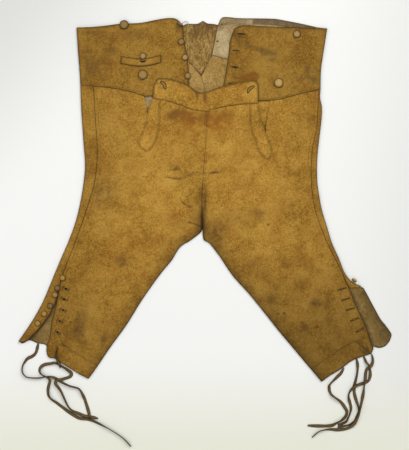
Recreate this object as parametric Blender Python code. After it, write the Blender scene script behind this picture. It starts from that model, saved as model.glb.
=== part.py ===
# Leather knee breeches with a small fall, laid flat with the front up.
# Millimetres in the tables, metres in the model. X is to the viewer's right, Y is towards the waist,
# Z is up, and the origin is on the floor below the middle of the garment.
import math

import bmesh
import bpy
import numpy as np
from mathutils import Matrix

MM = 0.001

LEATHER = 1.6           # one layer of buff leather
BAND = 2.0              # a waistband: leather with its lining
SEAM_GAP = 0.4          # between two pieces at a seam
REST_GAP = 0.35         # between a piece and what it lies on
FOLD_RADIUS = 3.0       # outer radius where a layer folds over at the side
BODY_LEVEL = 5.0        # underside of the front over the middle of the legs and under the fall
SIDE_LEVEL = 2 * FOLD_RADIUS - LEATHER      # underside of the front at the side seam
EDGE_LEVEL = LEATHER + REST_GAP             # underside of the front where it lies on the back
WAIST_LEVEL = 3.5       # underside of the front at the waist seam, over the bearers
BAND_LEVEL = LEATHER + 0.6                  # underside of the front waistbands near the fall
EDGE_EASE = 42.0        # width over which the front sinks to an edge
SIDE_EASE = 40.0        # width over which the front sinks to the side seam
WAIST_EASE = 60.0       # depth over which the front sinks to the waist seam
BAND_EASE = 110.0       # width over which a waistband sinks from its side fold
SEAM_VALLEY = 1.3       # how far the centre front seam sinks into the front
SEAM_VALLEY_WIDTH = 14.0

SEAM_ROWS = 16          # rows along a side seam, waist to knee opening
SLIT_ROWS = 4           # of those, rows beside the slit of the fall
KNEE_ROWS = 5           # rows along the knee opening
OUTER_COLUMNS = 5       # columns of a front outside its slit line
INNER_COLUMNS = 4       # columns of a front inside its slit line
BACK_COLUMNS = 6        # columns of a back on the floor
FOLD_STEPS = 4          # steps round a side fold
RETURN_WIDTH = 21.0     # how far a front waistband is turned under at the side

THONG = 3.2             # diameter of a lace's tube
THONG_STEP = 9.0        # spacing of the points along a lace

LEATHER_COLOUR = (0.36, 0.2, 0.055, 1.0)
LINING_COLOUR = (0.33, 0.27, 0.16, 1.0)
GUSSET_COLOUR = (0.26, 0.17, 0.08, 1.0)
BUTTON_COLOUR = (0.42, 0.3, 0.13, 1.0)
THONG_COLOUR = (0.16, 0.11, 0.05, 1.0)

# Lines of the garment, each from the waist down or from the side inwards, as (x, y).
SIDE_FOLD = {
    "left": [(-261, 238), (-259, 187), (-254, 116), (-251, 72), (-254, 36), (-260, -2), (-270, -44),
             (-285, -86), (-304, -130), (-323, -176), (-332, -198)],
    "right": [(243, 229), (242, 213), (246, 192), (245, 166), (240, 124), (236, 82), (236, 40),
              (240, 9), (246, -23), (256, -56), (267, -92), (281, -123), (293, -153), (305, -170)],
}
SIDE_SEAM = {
    "left": [(-233, 236.3), (-229, 162), (-225, 103), (-229, 45), (-238, 9), (-253, -39), (-270, -86),
             (-288, -133), (-298, -159), (-307, -191)],
    "right": [(239, 228.3), (237, 183), (234, 145), (226, 108), (223, 61), (224, 28), (229, -12),
              (238, -44), (254, -86), (272, -123), (287, -151), (295, -170)],
}
# The fold and the free edge of the button stand, from the top of the knee opening.
STAND_FOLD = {
    "left": [(-332, -198), (-343, -222), (-363, -257), (-382, -285), (-391, -298)],
    "right": [(305, -170), (316, -177), (328, -182)],
}
STAND_EDGE = {
    "left": [(-307, -191), (-309, -205), (-316, -226), (-329, -249), (-346, -271), (-361, -287),
             (-368, -295)],
    "right": [(295, -170), (301, -180), (305, -185)],
}
PLACKET = {
    "left": [(-307, -191), (-312, -222), (-321, -254), (-325, -285), (-332, -308)],
    "right": [(295, -170), (305, -190), (316, -218), (330, -249), (343, -279), (349, -302),
              (354, -312), (350, -324)],
}
OUTER_HEM = {
    "left": [(-332, -308), (-332, -321), (-327, -332), (-313, -335), (-304, -342), (-277, -359)],
    "right": [(350, -324), (328, -331), (307, -340), (286, -356), (270, -366)],
}
INNER_HEM = {
    "left": [(-277, -359), (-262, -368), (-244, -377)],
    "right": [(270, -366), (263, -370), (245, -383)],
}
BACK_HEM = {
    "left": [(-389, -299), (-382, -303), (-368, -296), (-352, -302), (-333, -306), (-331, -318),
             (-325, -328), (-312, -333), (-303, -339), (-275, -356), (-244, -377)],
    "right": [(388, -298), (379, -308), (366, -312), (354, -309), (347, -321), (328, -330), (307, -339),
              (286, -355), (263, -369), (245, -383)],
}
# The flat edge of the right knee's button stand, which is laid open.
OPEN_STAND = [(326, -184), (334, -188), (351, -219), (368, -250), (379, -264), (387, -275),
              (392, -285), (388, -298)]
SLIT_OUTER = {
    "left": [(-128, 216), (-120, 183), (-121, 145), (-123, 108)],
    "right": [(137, 207), (129, 158), (128, 124), (127, 95)],
}
SLIT_INNER = {
    "left": [(-109, 210), (-113, 183), (-117, 145), (-123, 108)],
    "right": [(113, 199), (116, 171), (121, 124), (127, 95)],
}
# The line down the leg on which the two halves of a front's grid meet, below the slit.
LEG_LINE = {
    "left": [(-123, 108), (-142, 0), (-180, -125), (-231, -255), (-277, -359)],
    "right": [(127, 95), (141, 0), (170, -105), (222, -232), (270, -366)],
}
WAIST_SEAM = {
    "left": [(-233, 236.3), (-199, 233.4), (-157, 225.4), (-128, 216.5)],
    "right": [(239, 228.3), (225, 226), (200, 220.4), (158, 209.4), (137, 207.5)],
}
BAND_SEAM = {
    "left": [(-109, 210), (-88, 207), (-52, 197), (-25, 187), (3, 183)],
    "right": [(113, 199), (95, 199), (53, 195), (24, 189), (3, 183)],
}
CENTRE_FRONT_TOP = [(3, 183), (3, 145), (1, 103)]
CENTRE_FRONT = [(1, 103), (-3, 55), (-6, -2), (-5, -62)]
CENTRE_BACK = [(-7, 257), (-3, 242), (1, 219), (-2, 145), (-4, 55), (-5, -2), (-5, -62)]
CROTCH = {
    "left": [(-5, -62), (-10, -71), (-31, -87), (-51, -100), (-69, -128)],
    "right": [(-5, -62), (-4, -77), (-1, -86), (11, -94), (32, -121)],
}
INSEAM = {
    "left": [(-69, -128), (-96, -161), (-132, -212), (-163, -262), (-199, -312), (-226, -352),
             (-244, -377)],
    "right": [(32, -121), (59, -161), (93, -199), (124, -237), (154, -275), (185, -312), (217, -350),
              (245, -383)],
}
# Front waistbands: top, side fold, lower seam and front edge.
BAND_TOP = {
    "left": [(-266, 361), (-241, 361), (-209, 364), (-178, 368), (-136, 370), (-104, 376), (-79, 380),
             (-62, 379), (-52, 372), (-46, 360)],
    "right": [(254, 358), (221, 359), (179, 361), (120, 363), (95, 365), (74, 364), (62, 358)],
}
BAND_SIDE = {
    "left": [(-269, 360), (-266, 313), (-262, 261), (-261, 239)],
    "right": [(257, 358), (250, 313), (244, 271), (243, 230)],
}
BAND_BOTTOM = {
    "left": [(-258, 239), (-230, 237), (-199, 234), (-157, 226), (-129, 217), (-109, 218), (-69, 217),
             (-33, 215)],
    "right": [(240, 230), (225, 226.8), (200, 221), (158, 210), (137, 208), (112, 207), (74, 211),
              (38, 215)],
}
BAND_FRONT = {
    "left": [(-46, 360), (-44, 334), (-39, 313), (-35, 286), (-33, 261), (-33, 215)],
    "right": [(62, 358), (53, 334), (51, 313), (45, 271), (39, 238), (38, 215)],
}
# Back waistbands and the lower seam that they share with the backs, from the centre outwards.
BACK_BAND_TOP = {
    "left": [(-52, 360), (-64, 374), (-104, 370), (-136, 366), (-178, 364), (-209, 360), (-245, 358)],
    "right": [(28, 366), (32, 376), (38, 382), (53, 382), (74, 380), (141, 379), (169, 375),
              (200, 369), (233, 362)],
}
BACK_BAND_SEAM = {
    "left": [(-44, 301), (-66, 293), (-136, 269), (-199, 249), (-239, 238)],
    "right": [(15, 301), (47, 292), (116, 271), (200, 242), (222, 228)],
}
GUSSET = [(-51, 360), (-34, 368), (-18, 368), (-4, 374), (5, 369), (27, 366), (14.5, 301), (-7, 258),
          (-43.5, 303)]
# The fall's band and strips.
FALL_BAND_TOP = [(-109, 212), (-108, 234), (-104, 245), (-98, 253), (-90, 254), (-69, 251), (-37, 240),
                 (-14, 225), (3, 225), (32, 235), (74, 245), (101, 249), (110, 244), (113, 234),
                 (113, 201)]
FALL_BAND_SEAM = [(-109, 212), (-88, 208), (-52, 198), (-25, 188), (3, 184), (24, 190), (53, 196),
                  (95, 200), (113, 201)]
STRIP_OUTER = {
    "left": [(-110, 209), (-115, 198), (-120, 181), (-123, 162), (-129, 145), (-135, 131), (-140, 120),
             (-134, 108), (-121, 99)],
    "right": [(113, 198), (113, 183), (116, 171), (122, 154), (129, 137), (135, 122), (141, 103),
              (138, 91), (130, 83)],
}
STRIP_INNER = {
    "left": [(-94, 206), (-94, 185), (-94, 166), (-97, 143), (-102, 124), (-109, 110), (-121, 99)],
    "right": [(94, 197), (95, 175), (96, 156), (99, 141), (106, 124), (113, 100), (130, 83)],
}
BEARER = {
    "left": [(-150, 216), (-128, 215.5), (-109, 216), (-36, 213), (-36, 190), (-112, 100), (-134, 100)],
    "right": [(150, 206.4), (137, 207.4), (112, 206.4), (41, 213), (41, 190), (114, 86), (138, 86)],
}
WELT_TOP = [(-176, 301), (-163, 298), (-138, 295), (-121, 296), (-91, 303)]
WELT_BOTTOM = [(-177, 284), (-157, 280), (-136, 278), (-115, 280), (-91, 286)]

# Buttons: name, x, y, diameter, tilt in degrees and the direction it leans to.
BAND_BUTTONS = [
    ("brace_button_left", "left", -169, 366, 19.5, 0, 0),
    ("fall_button_left", "left", -130, 261, 21.0, 0, 0),
    ("fob_button", "left", -129.5, 300, 14.0, 0, 0),
    ("front_button_1", "left", -53, 365, 15.0, 62, 60),
    ("front_button_2", "left", -49.5, 330, 14.7, 0, 0),
    ("front_button_3", "left", -41.5, 297.5, 13.6, 0, 0),
    ("front_button_4", "left", -35.5, 258.5, 13.6, 0, 0),
    ("brace_button_right", "right", 193, 346, 16.4, 0, 0),
    ("fall_button_right", "right", 155, 244, 20.0, 0, 0),
]
KNEE_BUTTONS = [(-298, -165), (-309, -186), (-314, -200.5), (-324, -223.5), (-336.5, -240), (-350, -260)]
KNEE_BUTTON_SIZE = 12.5
STAND_BUTTON = (312.7, -171.1)
STAND_BUTTON_TURN = 58.0
STAND_BUTTON_SHANK = 3.0
BUTTON_HEIGHT = 4.0
BUTTON_SIDES = 14
SHANK_RADIUS = 1.5
# A button's profile: share of its radius and share of its height, from the back to the crown.
BUTTON_PROFILE = [(0.72, 0.0), (0.98, 0.28), (0.96, 0.5), (0.62, 0.86)]

# Laces: (x, y, height of the lace's middle above the floor), from the knee to the free end.
LOW = THONG / 2
OVER = LOW + THONG + 1.0
LACES = {
    "lace_left_back": [
        (-349.5, -303.1, LOW), (-354, -321, LOW), (-361, -329, LOW), (-371, -334, LOW), (-377, -341, LOW),
        (-382, -350, LOW), (-383, -361, LOW), (-379, -369, LOW), (-371, -374, LOW), (-348, -375, LOW),
        (-331, -372, LOW), (-317, -374, LOW), (-300, -384, LOW), (-283, -392, LOW), (-264, -398, LOW),
        (-254, -415, LOW), (-248, -432, LOW), (-243, -450, LOW)],
    "lace_left_tied": [
        (-155, -519, LOW), (-171, -502, LOW), (-196, -485, LOW), (-220, -472, LOW), (-241, -463, LOW),
        (-262, -460, LOW), (-272, -455, LOW), (-285, -447, LOW), (-298, -437, LOW), (-310, -428, LOW),
        (-323, -419, LOW), (-328, -411, LOW), (-329, -400, LOW), (-327, -390, LOW + 1.4),
        (-325, -381, OVER - 0.4), (-330, -374, OVER), (-339, -370, OVER - 0.8), (-345, -365, LOW + 0.8),
        (-347, -359, LOW), (-344, -352, LOW), (-336, -347, LOW), (-325, -345, LOW), (-315, -343.5, LOW),
        (-306, -347, LOW), (-295, -353.5, LOW), (-285.5, -360, LOW), (-280, -365.5, LOW),
        (-281, -371, LOW),
        (-289, -375, LOW + 0.6), (-301, -378, OVER - 0.8), (-311, -380, OVER), (-313, -387, OVER - 0.6),
        (-307, -395, LOW + 1.0), (-301, -404, LOW), (-296, -415, LOW), (-291, -426, LOW),
        (-287, -434, LOW), (-279, -443, LOW), (-266, -449, LOW), (-252, -455, LOW), (-238, -457, LOW),
        (-224, -460, LOW)],
    "lace_left_stub": [
        (-308, -309, 7.0), (-309.5, -318, 6.6), (-311, -328, 6.1), (-309, -338, 5.7), (-305, -346, 5.3),
        (-302.5, -354, 4.6)],
    "lace_right_inner": [
        (292, -354, LOW), (286, -365, LOW), (280, -371, LOW), (272, -379, LOW), (264, -387, LOW),
        (261, -394, LOW), (265, -409, LOW), (284, -424, LOW), (292, -434, LOW), (298, -445, LOW),
        (296, -455, LOW), (287, -464, LOW), (276, -470, LOW), (265, -475, LOW), (240, -476, LOW),
        (216, -475, LOW)],
    "lace_right_second": [
        (318.7, -334.9, LOW), (321, -350, LOW), (320, -365, LOW), (317, -380, LOW), (314, -392, LOW),
        (314, -407, LOW), (318, -422, LOW), (322, -434, LOW), (324, -443, LOW), (321, -453, LOW),
        (316, -464, LOW), (305, -472, LOW), (292, -476, LOW), (279, -478, LOW)],
    "lace_right_third": [
        (334.6, -334.2, LOW), (339, -342, LOW), (345, -350, LOW), (347, -361, LOW), (347, -371, LOW),
        (344, -380, LOW), (337, -385, LOW), (326, -388, LOW + 2.2), (316, -392, OVER),
        (308, -399, LOW + 1.8), (303, -407, LOW), (302, -417, LOW), (305, -428, LOW), (307, -438, LOW),
        (305, -449, LOW), (301, -459, LOW), (297, -466, LOW), (288, -471, LOW), (279, -473.5, LOW)],
    "lace_right_outer": [
        (350, -325.2, LOW), (352.5, -333, LOW), (352, -343, LOW + 1.8), (347, -351.5, OVER),
        (340.5, -356, LOW + 2.4), (338, -363, LOW + 1.2), (337, -374, LOW + 2.6), (335.5, -386, OVER),
        (334, -398, LOW + 1.4), (332.5, -409, LOW + 0.6), (330, -421, LOW + 2.4), (327.5, -433, OVER),
        (324.5, -446, OVER + 0.2), (320, -459, OVER), (313, -471.5, OVER - 1.0), (299, -481, LOW + 1.0),
        (280, -484, LOW), (263, -483, LOW), (246, -485, LOW), (236, -490, LOW), (225, -500, LOW)],
}


def smooth(points, rows):
    """Points at rows equal steps along a Catmull-Rom curve through the given points."""
    pts = np.array(points, float)
    if len(pts) == 2:
        return pts[0] + (pts[1] - pts[0]) * np.linspace(0, 1, rows + 1)[:, None]
    ends = np.vstack([2 * pts[0] - pts[1], pts, 2 * pts[-1] - pts[-2]])
    t = np.linspace(0, 1, 13)[:-1, None]
    dense = []
    for a, b, c, d in zip(ends, ends[1:], ends[2:], ends[3:]):
        dense.append(0.5 * (2 * b + (c - a) * t + (2 * a - 5 * b + 4 * c - d) * t**2
                            + (3 * b - a - 3 * c + d) * t**3))
    dense = np.vstack(dense + [pts[-1:]])
    run = np.concatenate([[0], np.cumsum(np.linalg.norm(np.diff(dense, axis=0), axis=1))])
    steps = np.linspace(0, run[-1], rows + 1)
    return np.stack([np.interp(steps, run, dense[:, i]) for i in range(pts.shape[1])], axis=1)


def join(*curves):
    """Curves laid end to end, with the point that two of them share kept once."""
    return np.vstack([curves[0]] + [curve[1:] for curve in curves[1:]])


def coons(first, last, top, bottom):
    """The grid between four boundary curves: rows run from top to bottom, columns first to last."""
    v = np.linspace(0, 1, len(first))[:, None, None]
    u = np.linspace(0, 1, len(top))[None, :, None]
    ruled = (1 - u) * first[:, None] + u * last[:, None] + (1 - v) * top[None] + v * bottom[None]
    corners = ((1 - u) * (1 - v) * top[0] + u * (1 - v) * top[-1]
               + (1 - u) * v * bottom[0] + u * v * bottom[-1])
    return ruled - corners


def distance(xy, line):
    """Distance from each point to a polyline."""
    a = line[:-1]
    step = line[1:] - a
    offset = xy[..., None, :] - a
    t = np.clip((offset * step).sum(-1) / (step**2).sum(-1), 0, 1)
    return np.linalg.norm(offset - t[..., None] * step, axis=-1).min(-1)


def rise(value, width):
    """A soft step: 0 at 0, 1 from the given width on."""
    t = np.clip(value / width, 0, 1)
    return t * t * (3 - 2 * t)


def with_height(xy, z):
    """Points (x, y) with a height each."""
    return np.concatenate([xy, np.broadcast_to(z, xy.shape[:-1])[..., None]], axis=-1)


def outward(line, side):
    """Unit directions away from the garment, square to a line down its side."""
    run = np.gradient(line, axis=0)
    run /= np.linalg.norm(run, axis=1)[:, None]
    square = np.stack([run[:, 1], -run[:, 0]], axis=1)
    return square if side == "left" else -square


def material(name, colour, roughness):
    """A Principled material."""
    made = bpy.data.materials.new(name)
    made.use_nodes = True
    shader = made.node_tree.nodes["Principled BSDF"]
    shader.inputs["Base Color"].default_value = colour
    shader.inputs["Roughness"].default_value = roughness
    shader.inputs["Metallic"].default_value = 0.0
    return made


def add_object(name, mesh, colour, roughness=0.8):
    """Puts a mesh into the scene under the node's name."""
    mesh.materials.append(material(name, colour, roughness))
    made = bpy.data.objects.new(name, mesh)
    bpy.context.scene.collection.objects.link(made)
    return made


def wall(name, patches, colour):
    """A closed wall from patches, each a pair of grids: the face turned up or out, and the other."""
    points = []
    index = {}
    faces = []

    def corner(pair):
        key = tuple(round(float(value), 4) for value in (*pair[0], *pair[1]))
        if key not in index:
            index[key] = len(points)
            points.append(pair)
        return index[key]

    for face_grid, back_grid in patches:
        rows, columns = face_grid.shape[:2]
        ids = [[corner((face_grid[r, c], back_grid[r, c])) for c in range(columns)] for r in range(rows)]
        for r in range(rows - 1):
            for c in range(columns - 1):
                faces.append((ids[r][c], ids[r + 1][c], ids[r + 1][c + 1], ids[r][c + 1]))
    count = len(points)
    edges = {(a, b) for face in faces for a, b in zip(face, face[1:] + face[:1])}
    rim = [(b, a, a + count, b + count) for a, b in edges if (b, a) not in edges]
    backs = [tuple(i + count for i in reversed(face)) for face in faces]
    vertices = [p[0] * MM for p in points] + [p[1] * MM for p in points]
    mesh = bpy.data.meshes.new(name)
    mesh.from_pydata([tuple(v) for v in vertices], [], faces + backs + sorted(rim))
    solid = bmesh.new()
    solid.from_mesh(mesh)
    bmesh.ops.triangulate(solid, faces=solid.faces)
    bmesh.ops.recalc_face_normals(solid, faces=solid.faces)
    solid.to_mesh(mesh)
    solid.free()
    add_object(name, mesh, colour)


def plate(name, outline, level, thickness, colour):
    """A flat piece: its outline raised from its level by its thickness."""
    solid = bmesh.new()
    low, high = [[solid.verts.new((x * MM, y * MM, z * MM)) for x, y in outline]
                 for z in (level, level + thickness)]
    solid.faces.new(low)
    solid.faces.new(high)
    for i in range(len(low)):
        solid.faces.new((low[i - 1], low[i], high[i], high[i - 1]))
    bmesh.ops.recalc_face_normals(solid, faces=solid.faces)
    mesh = bpy.data.meshes.new(name)
    solid.to_mesh(mesh)
    solid.free()
    add_object(name, mesh, colour)


def side_lines(side):
    """A leg's fold and the inner edge of the layer folded over it, waist to the end of the stand."""
    rows = KNEE_ROWS if side == "left" else 2
    fold = join(smooth(SIDE_FOLD[side], SEAM_ROWS), smooth(STAND_FOLD[side], rows))
    edge = join(smooth(SIDE_SEAM[side], SEAM_ROWS), smooth(STAND_EDGE[side], rows))
    return fold, edge


def fold_patch(fold, edge, side, thickness, level_end):
    """A layer folded over at the side: round the fold, then flat on top as far as the edge line."""
    out = outward(fold, side)
    centre = fold - FOLD_RADIUS * out
    outer = []
    inner = []
    for angle in np.linspace(-math.pi / 2, math.pi / 2, FOLD_STEPS + 1):
        for grid, radius in ((outer, FOLD_RADIUS), (inner, FOLD_RADIUS - thickness)):
            grid.append(with_height(centre + radius * math.cos(angle) * out,
                                    FOLD_RADIUS + radius * math.sin(angle)))
    if level_end is not None:
        outer.append(with_height(edge, level_end + thickness))
        inner.append(with_height(edge, level_end))
    return centre, np.stack(outer, axis=1), np.stack(inner, axis=1)


def back_leg(side):
    """A back: flat on the floor, folded over at the side and sewn to the front there."""
    toward = 1 if side == "left" else -1
    fold, edge = side_lines(side)
    rim = np.stack([edge[:, 0] - toward * SEAM_GAP / 2, edge[:, 1]], axis=1)
    centre, outer, inner = fold_patch(fold, rim, side, LEATHER, SIDE_LEVEL)
    if side == "left":
        side_edge = centre
    else:
        side_edge = join(centre, np.vstack([centre[-1:], smooth(OPEN_STAND, 11)]))
    below = len(side_edge) - 1
    middle_rows = 7
    crotch_rows = 3
    centre_back = smooth(CENTRE_BACK, middle_rows) - (toward * SEAM_GAP / 2, 0)
    crotch = smooth(CROTCH[side], crotch_rows)
    crotch[0] = centre_back[-1]
    inseam = smooth(INSEAM[side], below - middle_rows - crotch_rows)
    inner_edge = join(centre_back, crotch, inseam)
    seam = smooth(list(reversed(BACK_BAND_SEAM[side])), BACK_COLUMNS - 2) - (0, SEAM_GAP / 2)
    top = join(np.vstack([centre[:1], seam[:1]]), seam, np.vstack([seam[-1:], centre_back[:1]]))
    hem = smooth([tuple(side_edge[-1])] + BACK_HEM[side][1:], BACK_COLUMNS)
    hem[-1] = inner_edge[-1]
    floor = coons(side_edge, inner_edge, top, hem)
    patches = [
        (with_height(floor, LEATHER), with_height(floor, 0.0)),
        (inner[:, ::-1], outer[:, ::-1]),
    ]
    wall("back_leg_" + side, patches, LEATHER_COLOUR)


def low_edges(side):
    """The edges along which a front lies down on the back."""
    return join(smooth(PLACKET[side], 10), smooth(OUTER_HEM[side], 8), smooth(INNER_HEM[side], 4),
                smooth(list(reversed(INSEAM[side])), 14), smooth(list(reversed(CROTCH[side])), 6))


def front_under(xy, side, beside_slit=False):
    """Height of a front's underside above the floor."""
    level = BODY_LEVEL - (BODY_LEVEL - SIDE_LEVEL) * (1 - rise(distance(xy, SEAM_LINE[side]), SIDE_EASE))
    if beside_slit:
        at_side = 1 - rise(distance(xy, SEAM_LINE[side]), BAND_EASE)
        waist = WAIST_LEVEL + (SIDE_LEVEL - WAIST_LEVEL) * at_side
        level = waist + (level - waist) * rise(distance(xy, WAIST_LINE[side]), WAIST_EASE)
    valley = np.exp(-(distance(xy, CENTRE_LINE) / SEAM_VALLEY_WIDTH) ** 2)
    level = level - SEAM_VALLEY * valley
    return EDGE_LEVEL + (level - EDGE_LEVEL) * rise(distance(xy, LOW_LINE[side]), EDGE_EASE)


def front_leg(side):
    """A front, with its half of the fall cut in one with it beside a slit."""
    toward = 1 if side == "left" else -1
    lower = SEAM_ROWS + KNEE_ROWS - SLIT_ROWS
    outer_edge = join(smooth(SIDE_SEAM[side], SEAM_ROWS), smooth(PLACKET[side], KNEE_ROWS))
    outer_edge = outer_edge + (toward * SEAM_GAP / 2, 0)
    leg_line = smooth(LEG_LINE[side], lower)
    slit_outer = join(smooth(SLIT_OUTER[side], SLIT_ROWS), leg_line)
    slit_inner = join(smooth(SLIT_INNER[side], SLIT_ROWS), leg_line)
    centre = join(smooth(CENTRE_FRONT_TOP, SLIT_ROWS), smooth(CENTRE_FRONT, 5))
    centre = centre - (toward * SEAM_GAP / 2, 0)
    crotch = smooth(CROTCH[side], 3)
    crotch[0] = centre[-1]
    inner_edge = join(centre, crotch, smooth(INSEAM[side], lower - 8))
    waist = smooth([tuple(outer_edge[0])] + WAIST_SEAM[side][1:], OUTER_COLUMNS)
    hem = smooth([tuple(outer_edge[-1])] + OUTER_HEM[side][1:], OUTER_COLUMNS)
    beside = coons(outer_edge, slit_outer, waist, hem)
    top = smooth(BAND_SEAM[side][:-1] + [tuple(centre[0])], INNER_COLUMNS)
    within = coons(slit_inner, inner_edge, top, smooth(INNER_HEM[side], INNER_COLUMNS))
    patches = []
    for grid, beside_slit in ((beside, True), (within, False)):
        under = front_under(grid, side, beside_slit)
        patches.append((with_height(grid, under + LEATHER), with_height(grid, under)))
    wall("front_leg_" + side, patches, LEATHER_COLOUR)


def band_under(xy, side):
    """Height of a front waistband's underside above the floor."""
    side_level = 2 * FOLD_RADIUS - BAND
    from_side = rise(distance(xy, BAND_SIDE_LINE[side]) - FOLD_RADIUS, BAND_EASE)
    return side_level + (BAND_LEVEL - side_level) * from_side


def front_waistband(side):
    """A front waistband, folded round the side and sewn to the back waistband below."""
    rows = 6
    fold = smooth(BAND_SIDE[side], rows)
    centre, outer, inner = fold_patch(fold, fold, side, BAND, None)
    top = smooth([tuple(centre[0])] + BAND_TOP[side][1:], 10)
    bottom = smooth([tuple(centre[-1])] + BAND_BOTTOM[side][1:], 10)
    main = coons(centre, smooth(BAND_FRONT[side], rows), top, bottom)
    under = band_under(main, side)
    tucked = centre - RETURN_WIDTH * outward(fold, side)
    turned = np.stack([tucked, centre], axis=1)
    patches = [
        (with_height(main, under + BAND), with_height(main, under)),
        (outer, inner),
        (with_height(turned, 0.0), with_height(turned, BAND)),
    ]
    wall("front_waistband_" + side, patches, LEATHER_COLOUR)


def back_waistband(side):
    """A back waistband, flat on the floor, from the gusset to the front waistband's turned edge."""
    toward = 1 if side == "left" else -1
    fold = smooth(BAND_SIDE[side], 3)
    tucked = fold - (FOLD_RADIUS + RETURN_WIDTH + SEAM_GAP) * outward(fold, side)
    top = smooth(BACK_BAND_TOP[side][:-1] + [tuple(tucked[0])], 14)
    seam = smooth(BACK_BAND_SEAM[side][:-1] + [tuple(tucked[-1])], 6) + (0, SEAM_GAP / 2)
    centre = smooth([tuple(top[0]), tuple(seam[0])], 1) - (toward * SEAM_GAP, 0)
    outline = np.vstack([top[1:], tucked[1:-1], seam[::-1][:-1], centre[::-1]])
    plate("back_waistband_" + side, outline, 0.0, LEATHER, LINING_COLOUR)


def fall_band():
    """The band along the top of the fall, over the lower edges of the front waistbands."""
    columns = 16
    top = smooth(FALL_BAND_TOP, columns)
    seam = smooth(FALL_BAND_SEAM, columns)
    top[0] = seam[0]
    top[-1] = seam[-1]
    share = np.linspace(0, 1, 4)[:, None, None]
    inner_columns = slice(1, columns)
    grid = top[None, inner_columns] * (1 - share) + seam[None, inner_columns] * share
    under = np.full(grid.shape[:-1], BODY_LEVEL)
    wall("fall_band", [(with_height(grid, under + BAND), with_height(grid, under))], LEATHER_COLOUR)


def fall_strip(side):
    """The strip sewn along a slit of the fall, lying on the front's own points."""
    rows = 12
    outer = smooth(STRIP_OUTER[side], rows)
    inner = smooth(STRIP_INNER[side], rows)
    share = np.linspace(0, 1, 4)[None, :, None]
    grid = (outer[:, None] * (1 - share) + inner[:, None] * share)[:-1]
    under = front_under(grid, side) + LEATHER + REST_GAP
    wall("fall_placket_" + side, [(with_height(grid, under + LEATHER), with_height(grid, under))],
         LEATHER_COLOUR)


def fob_welt():
    """The welt of the watch pocket, on the left front waistband."""
    share = np.linspace(0, 1, 3)[:, None, None]
    grid = smooth(WELT_TOP, 8)[None] * (1 - share) + smooth(WELT_BOTTOM, 8)[None] * share
    under = band_under(grid, "left") + BAND + REST_GAP
    patch = (with_height(grid, under + LEATHER), with_height(grid, under))
    wall("fob_welt", [patch], LEATHER_COLOUR)


def button_mesh(name, diameter, shank):
    """A low domed button, turned from its profile, with its back at height 0 and any shank below."""
    profile = [(share * diameter / 2, height * BUTTON_HEIGHT) for share, height in BUTTON_PROFILE]
    if shank:
        profile = [(SHANK_RADIUS, -shank), (SHANK_RADIUS, 0.0)] + profile
    solid = bmesh.new()
    angles = [2 * math.pi * step / BUTTON_SIDES for step in range(BUTTON_SIDES)]
    rings = [[solid.verts.new((radius * math.cos(a) * MM, radius * math.sin(a) * MM, z * MM))
              for a in angles] for radius, z in profile]
    for low, high in zip(rings, rings[1:]):
        for i in range(BUTTON_SIDES):
            solid.faces.new((low[i - 1], low[i], high[i], high[i - 1]))
    solid.faces.new(list(reversed(rings[0])))
    crown = solid.verts.new((0, 0, BUTTON_HEIGHT * MM))
    for i in range(BUTTON_SIDES):
        solid.faces.new((rings[-1][i - 1], rings[-1][i], crown))
    mesh = bpy.data.meshes.new(name)
    solid.to_mesh(mesh)
    solid.free()
    mesh.shade_smooth()
    mesh.set_sharp_from_angle(angle=math.radians(40))
    return mesh


def add_button(name, x, y, level, diameter, tilt=0.0, lean=0.0, shank=0.0):
    """A button whose lowest point is at a level, tilted over towards a direction."""
    mesh = button_mesh(name, diameter, shank)
    made = add_object(name, mesh, BUTTON_COLOUR, 0.6)
    turn = Matrix.Rotation(math.radians(lean), 4, "Z") @ Matrix.Rotation(math.radians(tilt), 4, "Y")
    lowest = min((turn @ vertex.co).z for vertex in mesh.vertices)
    made.matrix_world = Matrix.Translation((x * MM, y * MM, level * MM - lowest)) @ turn


def buttons():
    """All the buttons that show."""
    for name, side, x, y, diameter, tilt, lean in BAND_BUTTONS:
        reach = diameter / 2 * math.cos(math.radians(tilt))
        around = np.array([(x + dx, y + dy) for dx in (-reach, 0, reach) for dy in (-reach, 0, reach)])
        level = band_under(around, side).max() + BAND + REST_GAP
        if name == "fob_button":
            level += LEATHER + REST_GAP     # it lies over the welt's upper edge
        add_button(name, x, y, level, diameter, tilt, lean)
    for number, (x, y) in enumerate(KNEE_BUTTONS, 1):
        add_button("knee_button_left_%d" % number, x, y, 2 * FOLD_RADIUS + REST_GAP, KNEE_BUTTON_SIZE)
    add_button("knee_button_right", *STAND_BUTTON, REST_GAP, KNEE_BUTTON_SIZE - 1, 90.0,
               STAND_BUTTON_TURN, STAND_BUTTON_SHANK)


def lace(name, route):
    """A thong lying on the floor, as a tube."""
    length = np.linalg.norm(np.diff(np.array(route), axis=0), axis=1).sum()
    path = smooth(route, max(2, round(length / THONG_STEP)))
    curve = bpy.data.curves.new(name, "CURVE")
    curve.dimensions = "3D"
    curve.bevel_depth = THONG / 2 * MM
    curve.bevel_resolution = 2
    curve.use_fill_caps = True
    spline = curve.splines.new("POLY")
    spline.points.add(len(path) - 1)
    for point, (x, y, z) in zip(spline.points, path):
        point.co = (x * MM, y * MM, max(z, THONG / 2 + 0.02) * MM, 1.0)
    curve.materials.append(material(name, THONG_COLOUR, 0.7))
    bpy.context.scene.collection.objects.link(bpy.data.objects.new(name, curve))


for old in list(bpy.data.objects):
    bpy.data.objects.remove(old, do_unlink=True)

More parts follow.
